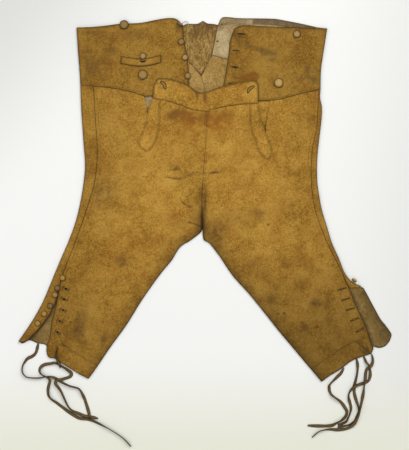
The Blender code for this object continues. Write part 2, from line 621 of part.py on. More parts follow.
SIDES = ("left", "right")
SEAM_LINE = {side: smooth(SIDE_SEAM[side], SEAM_ROWS) for side in SIDES}
WAIST_LINE = {side: smooth(WAIST_SEAM[side], 8) for side in SIDES}
LOW_LINE = {side: low_edges(side) for side in SIDES}
CENTRE_LINE = smooth(CENTRE_FRONT, 8)
BAND_SIDE_LINE = {side: smooth(BAND_SIDE[side], 6) for side in SIDES}

for side in SIDES:
    back_leg(side)
    front_leg(side)
    back_waistband(side)
    front_waistband(side)
    plate("bearer_" + side, BEARER[side], EDGE_LEVEL, 1.2, LINING_COLOUR)
    fall_strip(side)
plate("back_gusset", GUSSET, 0.0, LEATHER, GUSSET_COLOUR)
fall_band()
fob_welt()
buttons()
for name, route in LACES.items():
    lace(name, route)
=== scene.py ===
import math

import bmesh
import bpy
import numpy as np
from mathutils import Matrix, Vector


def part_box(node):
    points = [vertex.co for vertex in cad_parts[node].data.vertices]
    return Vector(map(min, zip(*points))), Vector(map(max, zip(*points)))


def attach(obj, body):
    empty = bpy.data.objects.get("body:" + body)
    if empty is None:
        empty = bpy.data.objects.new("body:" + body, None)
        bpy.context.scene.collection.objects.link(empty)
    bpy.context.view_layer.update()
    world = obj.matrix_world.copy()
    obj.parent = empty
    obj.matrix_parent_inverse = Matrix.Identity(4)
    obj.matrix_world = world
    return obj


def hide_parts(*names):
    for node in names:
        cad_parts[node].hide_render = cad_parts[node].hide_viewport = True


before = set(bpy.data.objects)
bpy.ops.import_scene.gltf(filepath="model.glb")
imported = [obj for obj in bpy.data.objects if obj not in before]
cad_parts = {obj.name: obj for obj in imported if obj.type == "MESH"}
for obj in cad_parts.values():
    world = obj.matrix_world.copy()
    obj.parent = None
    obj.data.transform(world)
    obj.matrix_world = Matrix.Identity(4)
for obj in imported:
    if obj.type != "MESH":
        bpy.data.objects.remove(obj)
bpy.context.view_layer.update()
mm = 0.001
scene = bpy.context.scene
scene.view_settings.view_transform = "Standard"

# camera: straight down, 2.1 mm of the floor for each pixel
view = {"height": 3.4, "middle": (-0.0005, -0.0541), "tall": 0.945}
cameraData = bpy.data.cameras.new("camera")
cameraData.sensor_fit = "VERTICAL"
cameraData.sensor_height = 36.0
cameraData.lens = 36.0 * view["height"] / view["tall"]
camera = bpy.data.objects.new("camera", cameraData)
camera.location = (*view["middle"], view["height"])
scene.collection.objects.link(camera)
scene.camera = camera


# Curves and grids
def lengths(line):
    # how far along a line each of its points is
    return np.concatenate([[0], np.cumsum(np.linalg.norm(np.diff(line, axis=0), axis=1))])


def pointsAt(line, places):
    # the points of a line at given distances along it
    run = lengths(line)
    return np.stack([np.interp(places, run, line[:, i]) for i in range(line.shape[1])], axis=1)


def smooth(points, steps):
    # a Catmull-Rom curve through the points, read at equal steps or at given shares of its length
    pts = np.array(points, float)
    dense = pts
    if len(pts) > 2:
        ends = np.vstack([2 * pts[0] - pts[1], pts, 2 * pts[-1] - pts[-2]])
        a, b, c, d = (ends[i:len(ends) - 3 + i, None] for i in range(4))
        t = np.linspace(0, 1, 13)[None, :-1, None]
        curve = 0.5 * (2 * b + (c - a) * t + (2 * a - 5 * b + 4 * c - d) * t**2
                       + (3 * b - a - 3 * c + d) * t**3)
        dense = np.vstack([curve.reshape(-1, pts.shape[1]), pts[-1:]])
    shares = np.linspace(0, 1, steps + 1) if isinstance(steps, int) else np.asarray(steps)
    return pointsAt(dense, shares * lengths(dense)[-1])


def join(*curves):
    # curves laid end to end, the shared point kept once
    return np.vstack([curves[0]] + [curve[1:] for curve in curves[1:]])


def ruled(first, last, shares):
    # straight lines from one curve to another, a row of the grid for each share of the way
    shares = shares[:, None, None]
    return first[None] * (1 - shares) + last[None] * shares


def coons(first, last, top, bottom, across=None):
    # the grid between four curves: the two ruled grids added, less the bilinear grid of the corners
    v = np.linspace(0, 1, len(first))[:, None, None]
    u = (np.linspace(0, 1, len(top)) if across is None else np.asarray(across))[None, :, None]
    ruled = (1 - u) * first[:, None] + u * last[:, None] + (1 - v) * top[None] + v * bottom[None]
    corners = ((1 - u) * (1 - v) * top[0] + u * (1 - v) * top[-1]
               + (1 - u) * v * bottom[0] + u * v * bottom[-1])
    return ruled - corners


def nearest(xy, line):
    # distance from each point to a line, and the share of the line's length at which that is
    line = np.asarray(line, float)
    a = line[:-1]
    step = line[1:] - a
    offset = xy[..., None, :] - a
    t = np.clip((offset * step).sum(-1) / np.maximum((step**2).sum(-1), 1e-9), 0, 1)
    away = np.linalg.norm(offset - t[..., None] * step, axis=-1)
    best = away.argmin(-1)
    run = lengths(line)
    along = np.take_along_axis(t, best[..., None], -1)[..., 0] * np.diff(run)[best] + run[best]
    return np.take_along_axis(away, best[..., None], -1)[..., 0], along / run[-1]


def distance(xy, line):
    return nearest(xy, line)[0]


def rise(value, width):
    # a soft step: 0 at 0, 1 from the width on
    t = np.clip(value / width, 0, 1)
    return t * t * (3 - 2 * t)


def bell(value, width):
    # 1 at 0, falling to nothing over about two widths
    return np.exp(-(value / width) ** 2)


def withHeight(xy, z):
    return np.concatenate([xy, np.broadcast_to(z, xy.shape[:-1])[..., None]], axis=-1)


def unit(vectors):
    # each vector over its own length
    return vectors / np.linalg.norm(vectors, axis=-1, keepdims=True)


def outward(line, side):
    # unit directions away from the garment, square to a line down its side
    along = unit(np.gradient(line, axis=0))
    square = np.stack([along[:, 1], -along[:, 0]], axis=1)
    return square if side == "left" else -square


def inset(line, amount):
    # a line moved sideways by an amount, to its left for a positive one
    return line - amount * outward(line, "left")


def crossways(heading):
    # unit directions for the headings of a path: along it, level across it, and square to both
    along = unit(heading)
    side = unit(np.cross(along, (0, 0, 1.0)))
    return along, side, np.cross(side, along)


edgeSteps = (0, 0.7, 1.5, 2.6, 4.0, 6.0, 8.5, 12.0)  # where the rows beside a panel's edge lie, in mm from it
stripSteps = (0, 0.6, 1.3, 2.4, 4.0)  # and beside the edge of a narrow strip


def fineShares(width, count, near=edgeSteps, bothEnds=False):
    # shares across a panel: close steps near the edge, given in millimetres, then even ones
    start = np.array(near) / width
    if bothEnds:
        even = np.linspace(start[-1], 1 - start[-1], count)
        return np.concatenate([start[:-1], even, 1 - start[:-1][::-1]])
    return np.concatenate([start[:-1], np.linspace(start[-1], 1, count)])


def drift(xy, size, turn):
    # slow swells of leather that has been worn: three sine waves across each other, from -1 to 1
    x, y = xy[..., 0] / size, xy[..., 1] / size
    return (np.sin(2.1 * x + 1.3 * y + turn) + np.sin(-1.2 * x + 2.6 * y + 2.1 * turn)
            + np.sin(3.7 * x - 0.9 * y + 3.3 * turn)) / 3


def creases(xy, table):
    # each crease sinks (or lifts, if its depth is negative) by a bell across its route, faded at both ends
    total = np.zeros(xy.shape[:-1])
    for route, width, depth in table:
        line = smooth(route, 12)
        away, share = nearest(xy, line)
        total -= depth * bell(away, width) * np.sin(np.pi * (0.06 + 0.88 * share)) ** 0.7
    return total


def patchesOf(xy, table):
    # soft oval patches, x, y, half length, half width, turn in degrees and strength, added up to 1
    total = np.zeros(xy.shape[:-1])
    for x, y, long, wide, turn, strength in table:
        c, s = math.cos(math.radians(turn)), math.sin(math.radians(turn))
        dx, dy = xy[..., 0] - x, xy[..., 1] - y
        total += strength * np.exp(-((dx * c + dy * s) / long) ** 2 - ((dy * c - dx * s) / wide) ** 2)
    return np.clip(total, 0, 1)


# Meshes
def weld(grids):
    # the grids' points put in one list, the points that they share kept once, and their four-sided faces
    points, quads, base = [], [], 0
    for grid in grids:
        rows, columns = grid.shape[:2]
        ids = base + np.arange(rows * columns).reshape(rows, columns)
        quads.append(np.stack([ids[:-1, :-1], ids[1:, :-1], ids[1:, 1:], ids[:-1, 1:]], axis=-1).reshape(-1, 4))
        points.append(grid.reshape(-1, 3))
        base += rows * columns
    points = np.vstack(points)
    _, first, index = np.unique(np.round(points, 3), axis=0, return_index=True, return_inverse=True)
    return points[first], index.reshape(-1)[np.vstack(quads)]


def newMesh(name, points, faces, fields=None):
    # a mesh from points in millimetres, faces as index rows, and one attribute for each named field
    mesh = bpy.data.meshes.new(name)
    lists = faces
    if isinstance(faces, np.ndarray):
        doubled = faces == np.roll(faces, -1, axis=1)  # a face with a repeated corner is kept as a triangle
        once = doubled.sum(1) == 1
        lists = faces[~doubled.any(1)].tolist() + faces[once][~doubled[once]].reshape(-1, 3).tolist()
    mesh.from_pydata((points * mm).tolist(), [], lists)
    mesh.validate()
    for key, values in (fields or {}).items():
        if values.ndim == 1:
            mesh.attributes.new(key, "FLOAT", "POINT").data.foreach_set("value", values.astype(np.float32))
        else:
            layer = mesh.attributes.new(key, "FLOAT_COLOR", "POINT")
            layer.data.foreach_set("color", values.astype(np.float32).ravel())
    mesh.shade_smooth()
    made = bpy.data.objects.new(name, mesh)
    scene.collection.objects.link(made)
    return made


def ringFaces(rows, columns):
    # four-sided faces between rings of points, and one face over each end
    ids = np.arange(rows * columns).reshape(rows, columns)
    after = np.roll(ids, -1, axis=1)
    quads = np.stack([after[:-1], after[1:], ids[1:], ids[:-1]], axis=-1).reshape(-1, 4)
    return quads.tolist() + [ids[0][::-1].tolist(), ids[-1].tolist()]


def turnOutwards(made):
    # the faces of a closed piece turned to look out
    mesh = bmesh.new()
    mesh.from_mesh(made.data)
    bmesh.ops.recalc_face_normals(mesh, faces=mesh.faces)
    mesh.to_mesh(made.data)
    mesh.free()


def finish(piece, slot, *materials):
    # a piece's finishes and its body; the slot is not used
    for material in materials:
        piece.data.materials.append(material)
    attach(piece, "root")
    return piece


# Materials
class Wire:
    # one output of a shader; +, - and * add Math nodes, with a plain number on either side
    def __init__(self, tree, socket=None):
        self.tree = tree
        self.socket = socket

    def node(self, kind, settings, inputs, output=0):
        # any node: its type, its settings or a ramp's stops, and the values or links of its sockets
        made = self.tree.nodes.new(kind)
        for key, value in settings.items():
            if key == "stops":
                ramp = made.color_ramp
                while len(ramp.elements) < len(value):
                    ramp.elements.new(1.0)
                for element, (place, colour) in zip(ramp.elements, value):
                    element.position = place
                    element.color = (*colour, 1.0)
            else:
                setattr(made, key, value)
        for key, value in inputs.items():
            if isinstance(value, Wire):
                self.tree.links.new(value.socket, made.inputs[key])
            else:
                made.inputs[key].default_value = value
        return Wire(self.tree, made.outputs[output])

    def sum(self, operation, a, b):
        return self.node("ShaderNodeMath", {"operation": operation}, {0: a, 1: b})

    def __add__(self, other):
        return self.sum("ADD", self, other)

    def __radd__(self, other):
        return self.sum("ADD", other, self)

    def __sub__(self, other):
        return self.sum("SUBTRACT", self, other)

    def __rsub__(self, other):
        return self.sum("SUBTRACT", other, self)

    def __mul__(self, other):
        return self.sum("MULTIPLY", self, other)

    def __rmul__(self, other):
        return self.sum("MULTIPLY", other, self)

    def step(self, low, high):
        # 0 below low, 1 above high, soft between; the other way round if low is the larger
        return self.node("ShaderNodeMapRange", {"interpolation_type": "SMOOTHSTEP"},
                         {"Value": self, "From Min": low, "From Max": high})

    def limited(self):
        return self.node("ShaderNodeClamp", {}, {"Value": self})

    def size(self):
        return self.sum("ABSOLUTE", self, 0.0)

    def least(self, other):
        return self.sum("MINIMUM", self, other)

    def blend(self, first, second):
        # this value mixes two colours
        return self.node("ShaderNodeMix", {"data_type": "RGBA"}, {0: self, 6: first, 7: second}, 2)


def startMaterial(name):
    # a new finish, a wire to start from, and the place on the object
    made = bpy.data.materials.new(name)
    made.use_nodes = True
    start = Wire(made.node_tree)
    return made, start, start.node("ShaderNodeTexCoord", {}, {}, 3)


def connect(made, colour, rough, shine, height=None, strength=0.5, depth=0.0004):
    # the last step of a finish: its colour, its roughness, how much it shines, and its relief as a bump
    links, inputs = made.node_tree.links, made.node_tree.nodes["Principled BSDF"].inputs
    links.new(colour.socket, inputs["Base Color"])
    if isinstance(rough, Wire):
        links.new(rough.socket, inputs["Roughness"])
    else:
        inputs["Roughness"].default_value = rough
    inputs["Specular IOR Level"].default_value = shine
    if height is not None:
        bump = height.node("ShaderNodeBump", {}, {"Strength": strength, "Distance": depth, "Height": height})
        links.new(bump.socket, inputs["Normal"])
    return made


def noise(place, scale, detail=3.0, rough=0.55, offset=0.0):
    where = place.node("ShaderNodeVectorMath", {"operation": "ADD"}, {0: place, 1: (offset, -offset, 0.3 * offset)})
    return place.node("ShaderNodeTexNoise", {}, {"Vector": where, "Scale": scale, "Detail": detail,
                                                 "Roughness": rough})


def field(start, name, output=2):
    return start.node("ShaderNodeAttribute", {"attribute_name": name}, {}, output)


def tone(*rgb):
    return (*rgb, 1.0)


# what a user would change of the leather: its tones, its wear and the size of its grain
leatherTones = {
    "outer": {"light": (0.49, 0.28, 0.05), "middle": (0.36, 0.187, 0.025),
              "dark": (0.2, 0.096, 0.011), "soil_and_shade": (0.125, 0.058, 0.014),
              "grey": (0.14, 0.082, 0.022), "rust": (0.25, 0.083, 0.009),
              "pale": (0.52, 0.325, 0.085), "line": (0.075, 0.038, 0.01)},
    "inner": {"light": (0.46, 0.3, 0.1), "middle": (0.35, 0.215, 0.06),
              "dark": (0.21, 0.128, 0.03), "soil_and_shade": (0.115, 0.078, 0.028),
              "grey": (0.17, 0.115, 0.042), "rust": (0.24, 0.12, 0.03),
              "pale": (0.5, 0.4, 0.21), "line": (0.075, 0.046, 0.015)},
    "lining": {"light": (0.5, 0.395, 0.215), "middle": (0.385, 0.285, 0.14),
               "dark": (0.25, 0.175, 0.075), "soil_and_shade": (0.18, 0.105, 0.05),
               "grey": (0.25, 0.2, 0.12), "rust": (0.28, 0.14, 0.05),
               "pale": (0.55, 0.45, 0.27), "line": (0.1, 0.065, 0.03)},
    "gusset": {"light": (0.42, 0.265, 0.085), "middle": (0.265, 0.163, 0.042),
               "dark": (0.145, 0.08, 0.02), "soil_and_shade": (0.1, 0.05, 0.018),
               "grey": (0.17, 0.115, 0.05), "rust": (0.2, 0.09, 0.02),
               "pale": (0.4, 0.27, 0.11), "line": (0.07, 0.036, 0.014)},
}
# its grain: scale, detail, roughness and offset of each noise, then its weight in the colour and in the relief
leatherGrain = {
    "wide": (11, 4, 0.6, 0, 1.3, 0), "blotch": (42, 4, 0.62, 2, 0.95, 1.6), "mottle": (170, 4, 0.7, 5, 1.0, 1.1),
    "speckle": (330, 2, 0.8, 13, 1.45, 0), "grain": (620, 3, 0.7, 9, 1.4, 0.55), "fibre": (1500, 2, 0.6, 0, 0, 0.35),
}
# its stains, the brown ones also carrying painted shade: the tone, the most that it covers and how ragged its edge is
leatherStains = {"brown": ("soil_and_shade", 0.86, 1.0), "grey": ("grey", 0.8, 1.0), "red": ("rust", 0.8, 1.7)}


def leatherMaterial(name, kind, nap=1.0, offset=0.0, streak=0.0):
    # three tones mottled by noise of several sizes, then the placed stains, some of them painted shade, then the dark
    # sewn lines and edges, partly painted shade
    made, start, place = startMaterial(name)
    tones = {key: tone(*rgb) for key, rgb in leatherTones[kind].items()}
    marks = start.node("ShaderNodeSeparateColor", {}, {"Color": field(start, "marks", 0)})
    stains = {key: Wire(start.tree, marks.socket.node.outputs[i]) for i, key in enumerate(leatherStains)}
    pale = field(start, "marks", 3)
    edge, seam, sewn, shade, row = (field(start, key) for key in ("edge", "seam", "sewn", "shade", "row"))
    seam = seam.least(row.size())
    grains = {key: noise(place, *look[:3], offset + look[3]) - 0.5 for key, look in leatherGrain.items()}

    def weighed(total, column):
        # the noises added up by their weights in one column of the table
        for key, look in leatherGrain.items():
            if look[column]:
                total = total + grains[key] * look[column]
        return total

    level = weighed(pale * 0.3 - stains["brown"] * 0.2 + 0.5, 4)
    if streak:
        combed = place.node("ShaderNodeVectorMath", {"operation": "MULTIPLY"}, {0: place, 1: (1.0, 0.3, 1.0)})
        level = level + (noise(combed, 300, 3, 0.7, 4.0) - 0.5) * streak
    colour = level.node("ShaderNodeValToRGB", {"stops": [
        (0.12, tones["dark"][:3]), (0.46, tones["middle"][:3]), (0.88, tones["light"][:3])]}, {"Fac": level})
    # a warm speckle, dark freckles and little rubbed pale ones
    warmth = noise(place, 26, 3, 0.6, offset + 23) * 2.6 + noise(place, 300, 3, 0.75, offset + 41) * 3.2 - 2.75
    freckle = noise(place, 230, 2, 0.5, offset + 17).step(0.65, 0.75)
    rubbed = noise(place, 330, 2, 0.5, offset + 31).step(0.69, 0.78)
    for fleck, fleckTone in ((warmth.limited() * 0.4, "rust"), (freckle * 0.44, "soil_and_shade"), (rubbed * 0.4, "pale")):
        colour = fleck.blend(colour, tones[fleckTone])
    ragged = (noise(place, 90, 5, 0.75, offset + 7) - 0.5) * 2.5 + grains["speckle"] * 2.4
    # the brown stains are soil, and painted shade in creases, down the crotch seam and under overlapping edges
    for key, (stainTone, most, rough) in leatherStains.items():
        spread = (stains[key] + ragged * rough * stains[key].step(0.06, 0.75)).step(0.04, 1.0)
        colour = (spread * most).blend(colour, tones[stainTone])
    # soiled edges, also painted shade along folds, outlines and the crotch's valley, the seam's own line and the line
    # of stitching beside it
    broken = grains["mottle"] + 0.8
    rim = (edge.step(3.1, 0.7) * broken * 0.92 + edge.step(8, 0.5) * 0.16).limited()
    lines = (seam.step(1.3, 0.2) * broken * 0.5 + seam.step(7, 1) * 0.07).limited()
    groove = (sewn.step(1.1, 0.0) * broken * 0.3).limited()
    for dark in (rim, lines, groove):
        colour = dark.blend(colour, tones["line"])
    colour = shade.blend(tone(0.0, 0.0, 0.0), colour)
    rough = 0.86 + grains["mottle"] * 0.2 - stains["brown"] * 0.12 - rim * 0.15
    height = weighed(seam.step(1.4, 0.1) * -0.8 - sewn.step(1.0, 0.0) * 0.5, 5)
    return connect(made, colour, rough, 0.12, height, 0.5 * nap, 0.0007)


outerLeather = leatherMaterial("breeches_leather", "outer")
innerLeather = leatherMaterial("leather_inside", "inner", 1.4, 3.0)
liningLeather = leatherMaterial("band_lining", "lining", 1.0, 6.0)
gussetLeather = leatherMaterial("gusset_nap", "gusset", 2.2, 8.0, 2.6)


def threadMaterial(name, light, dark):
    # a twisted thread, paler and darker along its run
    made, start, place = startMaterial(name)
    ply = noise(place, 2400, 1)
    colour = (noise(place, 260, 3) * 1.5 - 0.25).limited().blend(dark, light)
    return connect(made, colour, 0.7 + ply * 0.25, 0.1, ply, depth=0.0002)


threadBuff = threadMaterial("linen_thread", tone(0.23, 0.13, 0.03), tone(0.09, 0.047, 0.013))
threadHole = threadMaterial("buttonhole_thread", tone(0.3, 0.18, 0.045), tone(0.1, 0.053, 0.014))
threadPale = threadMaterial("pale_thread", tone(0.5, 0.42, 0.3), tone(0.3, 0.22, 0.13))
threadDark = threadMaterial("soiled_thread", tone(0.07, 0.038, 0.012), tone(0.025, 0.014, 0.005))


def thongMaterial(name, edge, flat):
    # a flat thong: olive brown on its faces, dark and polished along its cut edges
    made, start, place = startMaterial(name)
    wear, grain = noise(place, 120, 4, 0.6), noise(place, 900, 3, 0.6)
    level = field(start, "face") * 1.1 - 0.12 + (wear - 0.5) * 1.2 + (grain - 0.5) * 0.6
    return connect(made, level.limited().blend(edge, flat), 0.55 + wear * 0.3, 0.22, grain + wear)


thongLeather = thongMaterial("thong_leather", tone(0.014, 0.009, 0.003), tone(0.135, 0.08, 0.022))

buttonTones = {  # crown, side and rim; the dark rim ring is soil and painted contact shadow
    "pale": ((0.46, 0.3, 0.085), (0.3, 0.18, 0.045), (0.045, 0.025, 0.008)),
    "rubbed": ((0.37, 0.23, 0.075), (0.2, 0.115, 0.032), (0.04, 0.021, 0.007)),
    "worn": ((0.26, 0.16, 0.04), (0.16, 0.088, 0.02), (0.03, 0.016, 0.005)),
    "greyed": ((0.31, 0.188, 0.05), (0.22, 0.125, 0.03), (0.035, 0.02, 0.007)),
    "knee": ((0.36, 0.21, 0.042), (0.24, 0.13, 0.024), (0.045, 0.025, 0.008)),
    "soiled": ((0.2, 0.12, 0.036), (0.13, 0.07, 0.018), (0.03, 0.016, 0.005)),
}


def buttonMaterial(name, crown, side, dark):
    # a covered button: rubbed pale on the crown, soiled towards the rim, and a dark ring at the rim that is also
    # painted contact shadow
    made, start, place = startMaterial(name)
    rim = field(start, "rim")
    blotch, grain = noise(place, 260, 4, 0.65), noise(place, 1300, 3, 0.6)
    colour = (rim.step(0.3, 0.9) * 0.9 + (blotch - 0.5) * 1.5).limited().blend(crown, side)
    colour = (rim.step(0.74, 0.93) * 0.95 + (grain - 0.5) * 0.3).limited().blend(colour, dark)
    return connect(made, colour, 0.6 + blotch * 0.25, 0.25, blotch + grain * 0.6)


buttonMaterials = {key: buttonMaterial("button_" + key, *(tone(*rgb) for rgb in tones))
                   for key, tones in buttonTones.items()}


def plainDark(name, *rgb):
    # the inside of a hole, a little broken up: painted shade, dark for a sharp hole, paler for a worn one
    made, start, place = startMaterial(name)
    colour = noise(place, 700, 2).step(0.3, 0.8).blend(tone(*rgb), tone(*(2.2 * c for c in rgb)))
    return connect(made, colour, 0.95, 0.02)


slitDark = plainDark("slit_shadow", 0.018, 0.01, 0.004)
slitWorn = plainDark("slit_worn", 0.17, 0.1, 0.03)
print("materials ready")


# Laces, from the knee to the free end, as the solids have them: x, y, and the height of the lace's middle where
# it doesn't lie on the floor
thong = {"tube": 3.2, "wide": 6.4, "thick": 1.6, "cord": 4.6, "ring": 16, "step": 2.2}
low = thong["tube"] / 2
over = low + thong["tube"] + 1.0
laces = {
    "lace_left_back": [
        (-349.5, -303.1), (-354, -321), (-361, -329), (-371, -334), (-377, -341), (-382, -350), (-383, -361),
        (-379, -369), (-371, -374), (-348, -375), (-331, -372), (-317, -374), (-300, -384), (-283, -392),
        (-264, -398), (-254, -415), (-248, -432), (-243, -449, low + 1), (-241, -457, over)],
    "lace_left_tied": [
        (-155, -519), (-171, -502), (-196, -485), (-220, -472), (-241, -463), (-262, -460), (-272, -455),
        (-285, -447), (-298, -437), (-310, -428), (-323, -419), (-328, -411), (-329, -400), (-327, -390, low + 1.4),
        (-325, -381, over - 0.4), (-330, -374, over), (-339, -370, over - 0.8), (-345, -365, low + 0.8),
        (-347, -359), (-344, -352), (-336, -347), (-325, -345), (-315, -343.5), (-306, -347), (-295, -353.5),
        (-285.5, -360), (-280, -365.5), (-281, -371), (-289, -375, low + 0.6), (-301, -378, over - 0.8),
        (-311, -380, over), (-313, -387, over - 0.6), (-307, -395, low + 1.0), (-301, -404), (-296, -415),
        (-291, -426), (-287, -434), (-279, -443), (-266, -449), (-252, -455), (-238, -457), (-224, -460)],
    "lace_left_stub": [
        (-308, -309, 7.0), (-309.5, -318, 6.6), (-311, -328, 6.1), (-309, -338, 5.7), (-305, -346, 5.3),
        (-302.5, -354, 4.6)],
    "lace_right_inner": [
        (292, -354), (286, -365), (280, -371), (272, -379), (264, -387), (261, -394), (265, -409), (284, -424),
        (292, -434), (298, -445), (296, -455), (287, -464), (276, -470), (265, -475), (240, -476), (216, -475)],
    "lace_right_second": [
        (318.7, -334.9), (321, -350), (320, -365), (317, -380), (314, -392), (314, -407), (318, -422), (322, -434),
        (324, -443), (321, -453), (316, -464), (305, -472), (292, -476), (279, -478)],
    "lace_right_third": [
        (333.4, -329.8), (339, -342), (345, -350), (347, -361), (347, -371), (344, -380), (337, -385),
        (326, -388, low + 2.2), (316, -392, over), (308, -399, low + 1.8), (303, -407), (302, -417), (305, -428),
        (307, -438), (305, -449), (301, -459), (297, -466), (288, -471), (279, -473.5)],
    "lace_right_outer": [
        (350, -325.2), (352.5, -333), (352, -343, low + 1.8), (347, -351.5, over), (340.5, -356, low + 2.4),
        (338, -363, low + 1.2), (337, -374, low + 2.6), (335.5, -386, over), (334, -398, low + 1.4),
        (332.5, -409, low + 0.6), (330, -421, low + 2.4), (327.5, -433, over), (324.5, -446, over + 0.2),
        (320, -459, over), (313, -471.5, over - 1.0), (299, -481, low + 1.0), (280, -484), (263, -483), (246, -485),
        (236, -490), (225, -500)],
}
# how each thong turns: shares of its length and the angle there, 0 lying flat and 90 standing on its edge
laceTurns = {
    "lace_left_back": [(0, 0), (0.14, 8), (0.22, 76), (0.3, 84), (0.5, 78), (0.58, 20), (0.66, 70), (0.8, 64),
                       (0.84, 6), (1, 0)],
    "lace_left_tied": [(0, 70), (0.12, 78), (0.2, 20), (0.25, 4), (0.34, 8), (0.38, 60), (0.44, 12), (0.5, 66),
                       (0.56, 10), (0.62, 70), (0.67, 20), (0.71, 4), (0.76, 12), (0.8, 62), (0.88, 70), (0.93, 12),
                       (1, 30)],
    "lace_left_stub": [(0, 72), (0.6, 66), (0.78, 10), (1, 6)],
    "lace_right_inner": [(0, 0), (0.12, 15), (0.2, 70), (0.27, 0), (0.36, 75), (0.46, 10), (0.6, 15), (0.68, 60),
                         (0.76, 10), (0.9, 0), (1, 0)],
    "lace_right_second": [(0, 10), (0.2, 60), (0.32, 5), (0.5, 8), (0.6, 65), (0.72, 8), (0.86, 70), (1, 15)],
    "lace_right_third": [(0, 10), (0.12, 70), (0.22, 8), (0.34, 12), (0.46, 6), (0.58, 70), (0.68, 10), (0.8, 66),
                         (1, 10)],
    "lace_right_outer": [(0, 60), (0.1, 10), (0.2, 8), (0.3, 68), (0.38, 8), (0.5, 60), (0.58, 8), (0.7, 5),
                         (0.8, 12), (0.88, 72), (1, 68)],
}


def addLace(name, route):
    # a rounded oblong carried along the route and turned about it, its lowest corner kept off the floor
    turns = np.array(laceTurns[name], float)
    path = smooth(route, int(lengths(np.array(route, float))[-1] / thong["step"]))
    run = lengths(path)
    share = run / run[-1]
    angle = np.radians(np.interp(share, turns[:, 0], turns[:, 1]))
    angle = np.convolve(np.pad(angle, 4, mode="edge"), np.hanning(9) / np.hanning(9).sum(), mode="valid")
    narrow = 0.55 + 0.45 * rise(np.minimum(share, 1 - share) * run[-1], 9)  # towards both ends
    wide = thong["wide"] / 2 * narrow * (1 + 0.08 * np.sin(share * 47 + len(name)))
    thick = thong["thick"] / 2 * (1 + 0.1 * np.sin(share * 31 + 2.0))
    reach = np.abs(np.sin(angle)) * wide + np.abs(np.cos(angle)) * thick
    path[:, 2] = np.maximum((path[:, 2] - low) * 0.82, 0.05) + reach
    side, up = crossways(np.gradient(path, axis=0))[1:]
    corner = np.linspace(0, 2 * np.pi, thong["ring"], endpoint=False) + np.pi / thong["ring"]
    across, through = (np.sign(wave) * np.abs(wave) ** 0.55 for wave in (np.cos(corner), np.sin(corner)))
    c, s = np.cos(angle)[:, None], np.sin(angle)[:, None]
    rings = (path[:, None] + (wide[:, None] * across)[..., None] * (c * side + s * up)[:, None]
             + (thick[:, None] * through)[..., None] * (c * up - s * side)[:, None])
    rings[..., 2] = np.maximum(rings[..., 2], 0.02)
    face = np.broadcast_to(rise(1 - np.abs(across), 0.7), rings.shape[:2]).reshape(-1)
    made = newMesh(name + "_thong", rings.reshape(-1, 3), ringFaces(*rings.shape[:2]), {"face": face})
    turnOutwards(made)
    finish(made, "thong_leather", thongLeather)
    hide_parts(name)
    centre = path * mm


for laceName, laceRoute in laces.items():
    addLace(laceName, [(*point, low)[:3] for point in laceRoute])
print("laces laid")


# Lines of the garment, each from the waist down or from the side inwards, as the solids have them
leather, bandThick, seamGap, restGap, foldRadius = 1.6, 2.0, 0.4, 0.35, 3.0
buttGap = 0.12  # between the edges sewn together on the floor
# how far each stitched line lies from its edge
sewnAt = {"front": 6.2, "stand": 4.8, "band": 3.6, "fall": 3.4, "strip": 2.6, "lining": 2.6, "gusset": 2.4, "welt": 2.2}
levels = {"body": 5.0, "side": 2 * foldRadius - leather, "edge": leather + restGap, "waist": 3.5,
          "band": leather + 0.6}
eases = {"edge": 42.0, "side": 40.0, "waist": 60.0, "band": 110.0}
seamValley, seamValleyWidth, returnWidth, casing = 1.3, 14.0, 21.0, 34.0
sideFold = {
    "left": [(-261, 238), (-259, 187), (-254, 116), (-251, 72), (-254, 36), (-260, -2), (-270, -44),
             (-285, -86), (-304, -130), (-323, -176), (-332, -198)],
    "right": [(243, 229), (242, 213), (246, 192), (245, 166), (240, 124), (236, 82), (236, 40),
              (240, 9), (246, -23), (256, -56), (267, -92), (281, -123), (293, -153), (305, -170)]}
sideSeam = {
    "left": [(-233, 236.3), (-229, 162), (-225, 103), (-229, 45), (-238, 9), (-253, -39), (-270, -86),
             (-288, -133), (-298, -159), (-307, -191)],
    "right": [(239, 228.3), (237, 183), (234, 145), (226, 108), (223, 61), (224, 28), (229, -12),
              (238, -44), (254, -86), (272, -123), (287, -151), (295, -170)]}
standFold = {
    "left": [(-332, -198), (-343, -222), (-363, -257), (-382, -285), (-391, -298)],
    "right": [(305, -170), (316, -177), (328, -182)]}
standEdge = {
    "left": [(-307, -191), (-309, -205), (-316, -226), (-329, -249), (-346, -271), (-361, -287), (-368, -295)],
    "right": [(295, -170), (301, -180), (305, -185)]}
placket = {
    "left": [(-307, -191), (-312, -222), (-321, -254), (-325, -285), (-332, -308)],
    "right": [(295, -170), (305, -190), (316, -218), (330, -249), (343, -279), (349, -302),
              (354, -312), (350, -324)]}
outerHem = {
    "left": [(-332, -308), (-332, -321), (-327, -332), (-313, -335), (-304, -342), (-277, -359)],
    "right": [(350, -324), (328, -331), (307, -340), (286, -356), (270, -366)]}
innerHem = {"left": [(-277, -359), (-262, -368), (-244, -377)],
            "right": [(270, -366), (263, -370), (245, -383)]}
backHem = {
    "left": [(-389, -299), (-382, -303), (-368, -296), (-352, -302), (-333, -306), (-331, -318),
             (-325, -328), (-312, -333), (-303, -339), (-275, -356), (-244, -377)],
    "right": [(388, -298), (379, -308), (366, -312), (354, -309), (347, -321), (328, -330), (307, -339),
              (286, -355), (263, -369), (245, -383)]}
openStand = [(326, -184), (334, -188), (351, -219), (368, -250), (379, -264), (387, -275),
             (392, -285), (388, -298)]
flapFold = [(325, -205), (332, -235), (340, -262), (348, -288), (354, -309)]  # under the front, down to the hem
flapHem = 3  # the point of the right back's hem where that line ends
